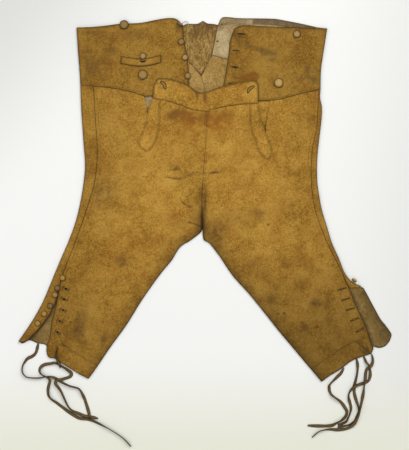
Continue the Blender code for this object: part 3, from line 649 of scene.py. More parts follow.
slitOuter = {"left": [(-128, 216), (-120, 183), (-121, 145), (-123, 108)],
             "right": [(137, 207), (129, 158), (128, 124), (127, 95)]}
slitInner = {"left": [(-109, 210), (-113, 183), (-117, 145), (-123, 108)],
             "right": [(113, 199), (116, 171), (121, 124), (127, 95)]}
legLine = {"left": [(-123, 108), (-142, 0), (-180, -125), (-231, -255), (-277, -359)],
           "right": [(127, 95), (141, 0), (170, -105), (222, -232), (270, -366)]}
waistSeam = {"left": [(-233, 236.3), (-199, 233.4), (-157, 225.4), (-128, 216.5)],
             "right": [(239, 228.3), (225, 226), (200, 220.4), (158, 209.4), (137, 207.5)]}
bandSeam = {"left": [(-109, 210), (-88, 207), (-52, 197), (-25, 187), (3, 183)],
            "right": [(113, 199), (95, 199), (53, 195), (24, 189), (3, 183)]}
centreFrontTop = [(3, 183), (3, 145), (1, 103)]
centreFront = [(1, 103), (-3, 55), (-6, -2), (-5, -62)]
centreBack = [(-7, 257), (-3, 242), (1, 219), (-2, 145), (-4, 55), (-5, -2), (-5, -62)]
crotch = {"left": [(-5, -62), (-10, -71), (-31, -87), (-51, -100), (-69, -128)],
          "right": [(-5, -62), (-4, -77), (-1, -86), (11, -94), (32, -121)]}
inseam = {
    "left": [(-69, -128), (-96, -161), (-132, -212), (-163, -262), (-199, -312), (-226, -352), (-244, -377)],
    "right": [(32, -121), (59, -161), (93, -199), (124, -237), (154, -275), (185, -312), (217, -350),
              (245, -383)]}
bandTop = {
    "left": [(-266, 361), (-241, 361), (-209, 364), (-178, 368), (-136, 370), (-104, 376), (-79, 380),
             (-62, 379), (-52, 372), (-46, 360)],
    "right": [(254, 358), (221, 359), (179, 361), (120, 363), (95, 365), (74, 364), (62, 358)]}
bandSide = {"left": [(-269, 360), (-266, 313), (-262, 261), (-261, 239)],
            "right": [(257, 358), (250, 313), (244, 271), (243, 230)]}
bandBottom = {
    "left": [
        (-258, 238.3), (-230, 236.6), (-199, 234), (-157, 226), (-129, 217), (-109, 218), (-69, 217), (-33, 215)],
    "right": [(240, 230), (225, 226.8), (200, 221), (158, 210), (137, 208), (112, 207), (74, 211), (38, 215)]}
bandFront = {
    "left": [(-46, 360), (-44, 334), (-39, 313), (-35, 286), (-33, 261), (-33, 215)],
    "right": [(62, 358), (53, 334), (51, 313), (45, 271), (39, 238), (38, 215)]}
backBandTop = {
    "left": [(-52, 360), (-64, 374), (-104, 370), (-136, 366), (-178, 364), (-209, 360), (-245, 358)],
    "right": [(28, 366), (32, 376), (38, 382), (53, 382), (74, 380), (141, 379), (169, 375), (200, 369),
              (233, 362)]}
backBandSeam = {"left": [(-44, 301), (-66, 293), (-136, 269), (-199, 249), (-239, 238)],
                "right": [(15, 301), (47, 292), (116, 271), (200, 242), (222, 228)]}
gussetTop = [(-51, 360), (-42, 366), (-34, 368), (-18, 368), (-11, 370), (-4, 374), (5, 369), (16, 368), (27, 366)]
gussetLeft = [(-51, 360), (-43.5, 303), (-7, 258)]
gussetRight = [(27, 366), (14.5, 301), (-7, 258)]
fallBandTop = [(-109, 212), (-108, 234), (-104, 245), (-98, 253), (-90, 254), (-69, 251), (-37, 240),
               (-14, 225), (3, 225), (32, 235), (74, 245), (101, 249), (110, 244), (113, 234), (113, 201)]
fallBandSeam = [(-109, 212), (-88, 208), (-52, 198), (-25, 188), (3, 184), (24, 190), (53, 196), (95, 200),
                (113, 201)]
stripOuter = {
    "left": [(-110, 209), (-115, 198), (-120, 181), (-123, 162), (-129, 145), (-135, 131), (-140, 120),
             (-134, 108), (-121, 99)],
    "right": [(113, 198), (113, 183), (116, 171), (122, 154), (129, 137), (135, 122), (141, 103), (138, 91),
              (130, 83)]}
stripInner = {
    "left": [(-94, 206), (-94, 185), (-94, 166), (-97, 143), (-102, 124), (-109, 110), (-121, 99)],
    "right": [(94, 197), (95, 175), (96, 156), (99, 141), (106, 124), (113, 100), (130, 83)]}
bearer = {
    "left": [(-150, 216), (-128, 215.5), (-109, 216), (-36, 213), (-36, 190), (-112, 100), (-134, 100)],
    "right": [(150, 206.4), (137, 207.4), (112, 206.4), (41, 213), (41, 190), (114, 86), (138, 86)]}
weltTop = [(-176, 301), (-163, 298), (-138, 295), (-121, 296), (-91, 303)]
weltBottom = [(-177, 284), (-157, 280), (-136, 278), (-115, 280), (-91, 286)]

sides = ("left", "right")
seamLine = {side: smooth(sideSeam[side], 32) for side in sides}
placketLine = {side: smooth(placket[side], 16) for side in sides}
hemLine = {side: join(smooth(outerHem[side], 16), smooth(innerHem[side], 6)) for side in sides}
waistLine = {side: smooth(waistSeam[side], 8) for side in sides}
inseamLine = {side: join(smooth(crotch[side], 8), smooth(inseam[side], 24)) for side in sides}
lowLine = {side: join(smooth(placket[side], 10), smooth(outerHem[side], 8), smooth(innerHem[side], 4),
                      smooth(list(reversed(inseam[side])), 14), smooth(list(reversed(crotch[side])), 6))
           for side in sides}
centreLine = smooth(centreFront, 8)
bandSideLine = {side: smooth(bandSide[side], 6) for side in sides}

# creases of the fronts: route, half width, depth (a ridge has a negative one)
frontCreases = [
    ([(-82, 44), (-54, 44), (-28, 52), (4, 54), (34, 57)], 3.4, 1.7),
    ([(-84, 56), (-66, 62), (-50, 64)], 3.5, 1.2),
    ([(-4, 10), (-5, -24), (-5, -62)], 6.5, 2.2),
    ([(-14, 2), (-16, -22), (-13, -44)], 6.0, -1.4),
    ([(6, 6), (9, -22), (6, -46)], 7.0, -1.3),
    ([(-70, 64), (-40, 66), (-12, 70)], 6.0, -0.8),
    ([(12, 72), (40, 74), (66, 66)], 7.0, -0.7),
    ([(-50, -4), (-42, -12), (-26, -19)], 2.8, 1.7),
    ([(-42, -10), (-32, -13), (-20, -24)], 5.0, -0.9),
    ([(-40, -46), (-26, -50), (-9, -57)], 2.8, 1.7),
    ([(-8, -52), (-40, -64), (-84, -62), (-132, -50)], 10.0, 1.6),
    ([(-10, -34), (-54, -34), (-104, -18), (-150, 8)], 15.0, -1.7),
    ([(2, -66), (30, -58), (74, -50), (118, -30)], 11.0, 1.5),
    ([(4, -40), (44, -26), (96, -2), (146, 34)], 16.0, -1.6),
    ([(15, -78), (32, -112), (48, -146), (66, -182)], 10.0, 1.7),
    ([(34, -80), (60, -120), (86, -158)], 11.0, -1.2),
    ([(-56, -104), (-92, -128), (-122, -166)], 9.0, -1.2),
    ([(-90, -98), (-136, -128), (-170, -132)], 8.0, 1.1),
    ([(-120, 92), (-128, 50), (-120, 6)], 16.0, -1.3),
    ([(-176, 150), (-190, 96), (-184, 40)], 14.0, -1.1),
    ([(-208, 206), (-200, 150), (-206, 96)], 8.0, 0.9),
    ([(132, 84), (136, 44), (150, 6)], 15.0, -1.2),
    ([(196, 160), (186, 110), (192, 60)], 13.0, -1.1),
    ([(176, 196), (170, 150), (176, 112)], 7.0, 0.8),
    ([(-246, -70), (-214, -92), (-176, -98)], 11.0, 1.1),
    ([(-264, -128), (-226, -140), (-190, -164)], 9.0, -1.2),
    ([(-284, -206), (-276, -250), (-280, -300)], 5.0, 1.1),
    ([(-262, -190), (-250, -236), (-252, -282)], 10.0, -1.3),
    ([(-300, -330), (-270, -326), (-240, -340)], 6.0, 0.8),
    ([(-216, -262), (-232, -296), (-226, -330)], 8.0, 1.1),
    ([(-176, -230), (-196, -262), (-222, -280)], 9.0, -1.0),
    ([(226, -60), (190, -78), (150, -74)], 12.0, 1.2),
    ([(252, -112), (214, -124), (170, -120)], 10.0, -1.2),
    ([(206, -120), (198, -136), (196, -150)], 3.0, 0.9),
    ([(284, -170), (268, -196), (262, -232)], 9.0, 1.0),
    ([(300, -214), (292, -250), (302, -286)], 8.0, -1.0),
    ([(322, -300), (334, -310), (344, -322)], 2.8, 1.6),
    ([(310, -296), (326, -312), (330, -328)], 3.0, 1.2),
    ([(318, -290), (300, -300), (280, -316)], 6.0, -1.1),
    ([(150, -200), (182, -226), (204, -262)], 10.0, 1.2),
    ([(170, -262), (206, -292), (240, -304)], 9.0, -1.1),
    ([(228, -330), (256, -322), (286, -326)], 6.0, 0.9),
]
# a front's stains and rubbed places: x, y, half length, half width, turn, strength; the thin brown marks along the
# creases, down the centre seam and at the knee wrinkles are painted shade
frontMarks = {
    "brown": [
        (-120.5, 184, 2.2, 3.0, 0, 1.2), (-45, -8, 6, 1.8, -40, 1.1), (-33, -15, 9, 1.6, -30, 0.8),
        (-31, -49, 7, 1.8, -12, 1.0), (-16, -54, 9, 1.6, -20, 0.8), (-5, -40, 4, 18, 0, 0.6),
        (1.5, -6, 2.2, 26, 0, 0.7), (-5, -30, 10, 30, 0, 0.3), (-58, 43, 10, 2.2, 0, 1.2),
        (-76, 46, 10, 1.6, -10, 0.7), (-38, 48, 16, 1.5, 22, 0.6), (22, 56, 11, 2, 4, 1.1), (0, 53, 16, 1.4, 3, 0.5),
        (-64, 62, 12, 1.6, 10, 0.7), (2, 80, 4, 1.8, 0, 0.9), (-20, 62, 30, 16, 0, 0.22), (-60, 66, 7, 5, 0, 0.4),
        (-64, 22, 30, 8, 24, 0.14), (337, -314, 14, 1.5, -52, 1.0), (342, -313, 11, 1.3, -62, 0.8),
        (330, -309, 12, 1.3, -40, 0.8), (325, -300, 16, 1.4, -14, 0.6), (336, -322, 12, 4, -35, 0.5),
        (-296, -306, 9, 1.5, -14, 0.8), (-284, -316, 9, 1.3, -40, 0.6), (-310, -318, 3, 14, 8, 0.5),
        (-298, -332, 10, 3, -40, 0.4), (-44, 175, 36, 15, -8, 0.5), (-66, 176, 13, 10, 0, 0.5),
        (-20, 166, 16, 10, 0, 0.2), (26, 171, 38, 15, 6, 0.3), (55, 178, 14, 8, 0, 0.2), (4, 178, 7, 11, 0, 0.4),
        (6.8, 153, 2.6, 2.4, 0, 0.95), (90, 175, 2.2, 2.2, 0, 0.8), (-67, 70, 19, 11, 12, 0.28),
        (-73, -96, 6, 5, 0, 0.35), (-173, -124, 17, 21, -20, 0.36), (-155, -121, 3, 2.6, 0, 0.5),
        (-223, 82, 5, 4, 0, 0.35), (-239, 28, 4, 4, 0, 0.3), (133, -54, 2.4, 2.4, 0, 0.85),
        (153.5, -240, 2.6, 2.2, 0, 1.4), (167, -239, 2.4, 2.2, 0, 1.3), (165, -250, 9, 9, 0, 0.35),
        (210, -268, 11, 11, 0, 0.5), (235, -268, 5, 2, 20, 0.9), (260, -256, 13, 15, 0, 0.36),
        (229, -220, 17, 6, 0, 0.36), (259, -206, 7, 18, 0, 0.28), (176, -142, 16, 30, -25, 0.26),
        (97, -184, 14, 12, 0, 0.3), (131, -209, 12, 10, 0, 0.3), (276, -268, 8, 6, -30, 0.4),
        (226, -340, 24, 8, -30, 0.22), (255, -226, 26, 14, -20, 0.2), (-266, -277, 15, 18, 20, 0.42),
        (-211, -293, 9, 22, -15, 0.55), (-262, -262, 12, 26, 10, 0.5), (-250, -300, 20, 10, 0, 0.3),
        (-176, -134, 14, 12, 0, 0.3), (-238, -128, 13, 10, 0, 0.3), (-290, -215, 10, 22, -12, 0.22),
        (22, -88, 18, 27, 24, 0.42), (187, -14, 22, 12, 15, 0.26), (144, -214, 14, 17, 0, 0.32),
        (232, -213, 16, 12, 0, 0.28), (292, -150, 12, 14, 0, 0.26), (90, -60, 16, 12, 0, 0.2),
        (60, -110, 20, 14, 30, 0.22), (230, -330, 26, 10, -24, 0.08), (330, -312, 18, 10, -35, 0.3),
        (-30, 20, 18, 26, 0, 0.1), (36, 60, 24, 6, 6, 0.18), (-55, 50, 30, 5, 5, 0.18),
        (-268, -345, 22, 7, -30, 0.25), (-200, 40, 20, 30, 0, 0.12), (190, 120, 20, 32, 0, 0.12),
        (200, -180, 22, 12, 20, 0.2), (-236, 14, 36, 34, 0, 0.36), (60, -42, 46, 28, 0, 0.34),
        (106, -24, 18, 16, 0, 0.24), (124, -152, 20, 44, 20, 0.26), (150, -16, 22, 24, 0, 0.22),
        (208, 168, 24, 28, 0, 0.22), (-215, 176, 32, 22, 0, 0.18), (-225, -165, 18, 16, 0, 0.24),
        (-252, -236, 16, 22, 0, 0.32), (256, -165, 20, 14, 0, 0.22), (195, -238, 14, 14, 0, 0.22),
        (28, -66, 22, 18, 0, 0.4), (122, -38, 18, 18, 0, 0.3), (90, -144, 18, 24, 0, 0.3),
        (-206, 8, 28, 36, 0, 0.26), (-286, -290, 14, 16, 0, 0.34), (-132, 184, 22, 20, 0, 0.22),
        (226, 168, 16, 26, 0, 0.2), (210, -170, 18, 16, 0, 0.2)],
    "grey": [
        (168, 17, 5, 15, 0, 0.34), (-214, -300, 8, 16, -10, 0.3), (-4, -70, 7, 20, 0, 0.45),
        (30, -100, 14, 12, 0, 0.3), (215, 190, 14, 40, 0, 0.2), (236, 100, 8, 60, -6, 0.16),
        (-230, 150, 8, 90, 0, 0.1), (245, -360, 16, 14, 0, 0.16), (-300, -330, 10, 8, 0, 0.2),
        (150, -180, 20, 14, 0, 0.14), (120, -120, 26, 18, 10, 0.14)],
    "red": [
        (-44, 172, 36, 18, -8, 0.5), (26, 168, 40, 20, 6, 0.5), (-40, 140, 44, 26, 0, 0.26),
        (34, 140, 44, 26, 0, 0.26), (-100, 130, 18, 30, 0, 0.12), (150, -120, 30, 24, 0, 0.12),
        (-180, -160, 40, 30, 0, 0.12), (-2, 60, 10, 40, 0, 0.16)],
    "pale": [
        (78, 106, 46, 34, 0, 0.42), (-150, 70, 46, 60, 0, 0.34), (-90, 0, 50, 40, 0, 0.26), (206, 88, 9, 18, 0, 0.4),
        (150, 60, 40, 50, 0, 0.25), (110, -10, 40, 30, 0, 0.2), (-60, 110, 34, 24, 0, 0.25),
        (-180, -30, 40, 40, 0, 0.22), (-70, -70, 30, 22, 0, 0.15), (60, 40, 30, 22, 0, 0.2),
        (-160, 190, 30, 24, 0, 0.12), (170, 170, 26, 26, 0, 0.1), (-116, -22, 36, 26, 0, 0.5),
        (-60, 26, 24, 40, 0, 0.34), (44, 22, 40, 16, 0, 0.45), (-248, 80, 14, 34, 0, 0.36),
        (-160, -212, 16, 26, 0, 0.5), (292, -208, 16, 30, -20, 0.5), (235, -325, 28, 14, -30, 0.5),
        (110, 110, 30, 34, 0, 0.4), (-128, 118, 22, 24, 0, 0.4), (-108, 116, 24, 24, 0, 0.9),
        (310, -236, 12, 22, -20, 0.5), (214, -318, 24, 18, -30, 0.7), (-66, -28, 20, 20, 0, 0.4),
        (-100, -60, 30, 16, 0, 0.4), (180, 66, 20, 24, 0, 0.3), (290, -230, 14, 14, 0, 0.3)],
}


def frontUnder(xy, side, besideSlit=False):
    # height of a front's underside: level over the leg, easing down to the side seam, the waist and the low edges
    fromSeam = distance(xy, seamLine[side])
    level = levels["side"] + (levels["body"] - levels["side"]) * rise(fromSeam, eases["side"])
    if besideSlit:
        waist = levels["side"] + (levels["waist"] - levels["side"]) * rise(fromSeam, eases["band"])
        level = waist + (level - waist) * rise(distance(xy, waistLine[side]), eases["waist"])
    level = level - seamValley * bell(distance(xy, centreLine), seamValleyWidth)
    return levels["edge"] + (level - levels["edge"]) * rise(distance(xy, lowLine[side]), eases["edge"])


def frontTop(xy, side, besideSlit=False):
    # a front's upper face: the underside and the leather, with creases, swells and the sunk seams
    fromLow, fromSeam, fromWaist, fromPlacket, fromHem, fromInseam = (distance(xy, line[side]) for line in (
        lowLine, seamLine, waistLine, placketLine, hemLine, inseamLine))
    swell = 0.9 * drift(xy, 34, 1.0) + 1.1 * drift(xy, 78, 2.0)
    lift = (creases(xy, frontCreases) + swell) * rise(fromLow, 26) * rise(fromWaist, 20)
    lift += 2.6 * rise(fromLow, 70) * rise(fromSeam, 60) * rise(fromWaist, 60)
    lift += 0.4 * bell(fromSeam - 3.6, 2.4) - 0.5 * bell(fromSeam, 1.5) - 0.2 * bell(fromSeam - sewnAt["front"], 1.1)
    lift += 0.7 * bell(fromHem - 16, 12) * rise(fromPlacket, 8) - 0.5 * bell(fromHem - casing, 2.2)
    lift += 0.4 * np.sin(xy[..., 1] * 0.3) * bell(fromPlacket - 8, 7)
    lift += 0.25 * np.sin(xy[..., 0] * 0.21) * bell(fromHem - 5, 6)
    lift -= 0.5 * bell(np.minimum(np.minimum(fromPlacket, fromHem), fromInseam), 1.0)
    return frontUnder(xy, side, besideSlit) + leather + np.maximum(lift, -1.1)


def panelFields(points, marks, edges, seams=None, shade=1.0, row=None):
    # distances to the cut edges, the seams and the stitched lines, the placed marks and the panel's own shade;
    # row is 0 on one more sewn line, and goes through 0 there
    xy = points[:, :2]
    far = np.full(len(points), 40.0)
    stains = np.stack([patchesOf(xy, marks.get(key, [])) for key in ("brown", "grey", "red", "pale")], axis=1)
    return {"marks": stains, "shade": np.broadcast_to(shade, (len(points),)),
            "edge": np.minimum(distance(xy, edges), 40),
            "seam": np.minimum(distance(xy, seams), 40) if seams is not None else far,
            "sewn": far, "row": far if row is None else row}


# how much a front darkens towards the knee, the hip and the lower leg, and as painted shade along the inseam, the fork
# and the crotch
frontShades = {"all": 0.99, "knee": {"left": 0.26, "right": 0.42}, "hip": {"left": 0.14, "right": 0.09},
               "leg": {"left": 0, "right": 0.08}, "inseam": 0.24, "fork": 0.3, "crotch": 0.14}


def frontShade(xy, side):
    # a front is brightest over the thigh and darkens towards the knee, the crotch and the side; along the inseam, down
    # the fork and round the crotch the darkening is painted shade of the rounded leg and the crotch's valley
    look, y = frontShades, xy[..., 1]
    knee = look["knee"][side] * rise(-90 - y, 230)
    leg = look["leg"][side] * rise(-40 - y, 120)
    hip = look["hip"][side] * rise(130 - np.minimum(distance(xy, seamLine[side]), 130), 130)
    inner = look["inseam"] * bell(distance(xy, inseamLine[side]), 15) * (1 - 0.4 * knee)
    fork = look["fork"] * bell(distance(xy, centreLine[4:]), 13)
    fork += look["crotch"] * bell(distance(xy, inseamLine[side][:10]), 34)
    return look["all"] - knee - leg - hip - inner - fork


def flatCut(grids):
    # the flat size of a cut piece: its extents along and across its own length, and its area, in metres
    points = np.vstack([grid.reshape(-1, 3) for grid in grids])[:, :2] * mm
    along = np.linalg.svd(points - points.mean(0), full_matrices=False)[2]
    spans = np.sort(np.ptp(points @ along.T, axis=0))
    area = 0.0
    for grid in grids:
        one = np.cross(grid[1:, :-1] - grid[:-1, :-1], grid[:-1, 1:] - grid[:-1, :-1])
        two = np.cross(grid[1:, 1:] - grid[1:, :-1], grid[:-1, 1:] - grid[1:, 1:])
        area += (np.linalg.norm(one, axis=-1).sum() + np.linalg.norm(two, axis=-1).sum()) / 2 * mm * mm
    return float(spans[0]), float(spans[1]), area


def facingUp(points, faces):
    # the faces turned so that those of the upper part look up
    corner = points[faces]
    normal = np.cross(corner[:, 2] - corner[:, 0], corner[:, 3] - corner[:, 1])
    upper = corner[..., 2].mean(1) > 0.6 * points[:, 2].max()
    return faces if normal[upper, 2].sum() > 0 else faces[:, ::-1]


def leatherPanel(name, grids, fields, slot, outside, inside, thick=leather, extra=0.0,
                 bevel=0.35):
    # one face of the panel as welded grids; the wall is added below it and its cut edges are rounded a little
    points, faces = weld(grids)
    faces = facingUp(points, faces)
    made = newMesh(name + "_leather", points, faces, fields(points))
    wall = made.modifiers.new("wall", "SOLIDIFY")
    wall.thickness = thick * mm
    wall.offset = -1.0
    wall.use_quality_normals = True
    wall.material_offset = 1
    if bevel:
        rounded = made.modifiers.new("rounded edge", "BEVEL")
        rounded.width = bevel * mm
        rounded.segments = 2
        rounded.limit_method = "ANGLE"
        rounded.angle_limit = math.radians(55)
    finish(made, slot, outside, inside)
    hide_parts(name)
    width, long, area = flatCut(grids)
    width += extra * mm
    area = min(area, 0.99 * width * long)


fine = 12  # rows here for each row of the solids
shadedFork = [(-5, -62), (-5.5, -40), (-5, -16)]  # painted shade: the centre seam's deep valley is drawn dark down here


def frontLeg(side):
    # two Coons grids, outside and inside the slit of the fall, that meet on a line down the leg
    toward = 1 if side == "left" else -1
    lower = (16 + 5 - 4) * fine
    outerEdge = join(smooth(sideSeam[side], 16 * fine), smooth(placket[side], 5 * fine)) + (toward * seamGap / 2, 0)
    leg = smooth(legLine[side], lower)
    slitOut = join(smooth(slitOuter[side], 4 * fine), leg)
    slitIn = join(smooth(slitInner[side], 4 * fine), leg)
    centre = join(smooth(centreFrontTop, 4 * fine), smooth(centreFront, 5 * fine)) - (toward * seamGap / 2, 0)
    fork = smooth(crotch[side], 3 * fine)
    fork[0] = centre[-1]
    innerEdge = join(centre, fork, smooth(inseam[side], lower - 8 * fine))
    across = fineShares(100, 46)
    waist = smooth([tuple(outerEdge[0])] + waistSeam[side][1:], across)
    hem = smooth([tuple(outerEdge[-1])] + outerHem[side][1:], across)
    beside = coons(outerEdge, slitOut, waist, hem, across)
    across = 1 - fineShares(110, 52)[::-1]
    top = smooth(bandSeam[side][:-1] + [tuple(centre[0])], across)
    within = coons(slitIn, innerEdge, top, smooth(innerHem[side], across), across)
    grids = [withHeight(beside, frontTop(beside, side, True)), withHeight(within, frontTop(within, side))]
    cut = join(smooth(placket[side], 24), smooth(outerHem[side], 16), smooth(innerHem[side], 6),
               inseamLine[side][::-1])

    def fields(points):
        xy = points[:, :2]
        made = panelFields(points, frontMarks, cut, shade=frontShade(xy, side))
        fromSeam = distance(xy, seamLine[side])
        fromCentre = distance(xy, np.vstack([smooth(centreFrontTop, 8), centreLine[1:]]))
        fromCentre = np.minimum(fromCentre + 0.7 * rise(xy[:, 1] - 20, 60), distance(xy, waistLine[side]))
        made["seam"] = np.minimum(np.minimum(fromSeam + 0.35, fromCentre), 40)
        made["sewn"] = np.minimum(np.abs(fromSeam - sewnAt["front"]), 40)
        besidePlacket = 1 - rise(distance(xy, placketLine[side]) - 8, 6)  # the casing's line stops short of it
        made["row"] = (distance(xy, hemLine[side]) - casing) * (1 + 30 * besidePlacket)
        # the fork's valley darkened as painted shade through the edge distance
        fromFork = np.maximum(distance(xy, smooth(shadedFork, 8)) - 1.0, 0) + 2.6 * rise(xy[:, 1] + 50, 40)
        made["edge"] = np.minimum(made["edge"], fromFork)
        return made

    leatherPanel("front_leg_" + side, grids, fields, "leather", outerLeather, innerLeather)


for side in sides:
    frontLeg(side)
print("fronts ready")


def aroundFold(fold, side):
    # the outer face round a fold: a half circle square to the fold line, from the floor up
    out = outward(fold, side)
    centre = fold - foldRadius * out
    angles = np.linspace(-math.pi / 2, math.pi / 2, 11)
    rings = [withHeight(centre + foldRadius * math.cos(a) * out, foldRadius + foldRadius * math.sin(a)) for a in angles]
    return centre, np.stack(rings, axis=1)


backMarks = {
    "brown": [
        (-12, 240, 22, 20, 0, 0.15), (-350, -292, 16, 8, 0, 0.3), (372, -290, 22, 16, 30, 0.5),
        (345, -232, 10, 34, 28, 0.3), (362, -262, 14, 24, 28, 0.3), (333, -196, 10, 12, 0, 0.35),
        (376, -262, 6, 34, 28, 0.4), (-244, 60, 12, 90, 0, 0.15), (-320, -176, 12, 40, -30, 0.2),
        (-372, -290, 14, 12, 0, 0.3), (262, -100, 16, 50, 25, 0.18), (4, 70, 60, 40, 0, 0.2),
        (-110, -170, 60, 34, 20, 0.25), (150, -200, 60, 34, -20, 0.25)],
    "grey": [
        (-4, 224, 24, 16, 0, 0.2), (-250, 170, 12, 70, 0, 0.22), (238, 110, 8, 90, 0, 0.25),
        (-330, -280, 20, 14, 0, 0.3)],
    "red": [(2, 222, 9, 6, 0, 0.3)],
    "pale": [(20, 262, 22, 30, 20, 0.35), (-20, 262, 10, 20, 20, 0.2), (-150, 60, 60, 50, 0, 0.2)],
}
backShades = {"strip": 0.82, "stripKnee": 0.14, "floorKnee": 0.4}


def backLeg(side):
    # the outer face of a back: flat on the floor, round the fold at the side, then on top as far as the seam
    toward = 1 if side == "left" else -1
    rows = (5 if side == "left" else 2) * fine
    fold = join(smooth(sideFold[side], 16 * fine), smooth(standFold[side], rows))
    edge = join(smooth(sideSeam[side], 16 * fine), smooth(standEdge[side], rows))
    rim = edge - (toward * seamGap / 2, 0)
    centre, around = aroundFold(fold, side)
    shares = 1 - fineShares(24, 8, edgeSteps[:6])[::-1]
    across = ruled(centre, rim, shares).swapaxes(0, 1)
    away = np.linalg.norm(across - rim[:, None], axis=-1)
    arch = 0.35 * np.sin(np.pi * shares)[None, :]
    height = 2 * foldRadius + arch * rise(np.linalg.norm(centre - rim, axis=1), 14)[:, None]
    height += 0.35 * bell(away - 3.4, 2.2) - 0.8 * bell(away, 1.5) + arch * drift(across, 22, 1.4)
    topStrip = withHeight(across, np.maximum(height, 2 * foldRadius - 0.9))
    topStrip[:, 0] = around[:, -1]
    sideEdge, hemPoints = centre, backHem[side]
    if side == "right":
        stand = smooth([tuple(centre[-1])] + flapFold, 11 * fine)
        sideEdge, hemPoints = join(centre, stand), backHem[side][flapHem:]
    below = len(sideEdge) - 1
    middleRows, forkRows = 7 * fine, 3 * fine
    back = smooth(centreBack, middleRows) - (toward * buttGap / 2, 0)
    fork = smooth(crotch[side], forkRows)
    fork[0] = back[-1]
    innerEdge = join(back, fork, smooth(inseam[side], below - middleRows - forkRows))
    seam = smooth(list(reversed(backBandSeam[side])), 32) - (0, buttGap / 2)
    top = join(np.vstack([centre[:1], seam[:1]]), seam, np.vstack([seam[-1:], back[:1]]))
    hem = smooth([tuple(sideEdge[-1])] + hemPoints[1:], len(top) - 1)
    hem[-1] = innerEdge[-1]
    floor = coons(sideEdge, innerEdge, top, hem)
    grids = [withHeight(floor[:, ::-1], 0.0), around, topStrip]
    for grid in grids:
        grid[0, :, 1] += 0.45  # no light between the back and its band
    if side == "right":
        opened = smooth([tuple(centre[-1])] + openStand[1:], len(stand) - 1)
        acrossFlap = smooth(backHem[side][:flapHem + 1], 16)
        acrossFlap[-1] = stand[-1]
        flap = coons(opened, stand, np.repeat(stand[:1], 17, axis=0), acrossFlap)
        grids.append(withHeight(flap[:, ::-1], 0.0))

    def fields(points):
        xy, onTop, look = points[:, :2], points[:, 2] > 3.2, backShades
        above = look["strip"] - look["stripKnee"] * rise(-90 - xy[:, 1], 200)
        below = 1 - look["floorKnee"] * rise(-150 - xy[:, 1], 60)
        made = panelFields(points, backMarks, np.vstack([smooth(backHem[side], 30), inseamLine[side][::-1]]),
                           shade=np.where(onTop, above, below))
        fromStand = distance(xy, smooth(openStand, 40) if side == "right" else smooth(standEdge["left"], 20))
        made["edge"] = np.minimum(made["edge"], np.where(onTop | (side == "right"), fromStand, 40))
        # the fold's outline is darkened as painted shade
        made["edge"] = np.minimum(made["edge"], distance(xy, fold) + 0.4)
        upper = np.minimum(distance(xy, seamLine[side]), distance(xy, smooth(bandBottom[side], 12)))
        made["seam"] = np.where(onTop, upper, np.minimum(distance(xy, smooth(centreBack, 20)), 40))
        made["sewn"] = np.where(onTop, np.abs(distance(xy, edge) - sewnAt["stand"]), 40)
        # brown added as painted shade: on the left a dark line along the stand's free edge and its shadow on the
        # leather below, on the right the front's shadow beside its edge on the flap and a darkening along the open
        # stand
        if side == "left":
            made["marks"][:, 0] += np.where(onTop, 2.4 * bell(fromStand, 2.0), 0.9 * bell(fromStand, 3.5))
        else:
            soil_and_shade = 0.8 * bell(distance(xy, placketLine["right"]), 4.5) + 0.3 * bell(fromStand, 8)
            made["marks"][:, 0] += soil_and_shade * (1 - onTop)
        return made

    leatherPanel("back_leg_" + side, grids, fields, "leather", outerLeather, innerLeather,
                 extra=34)


for side in sides:
    backLeg(side)
print("backs ready")

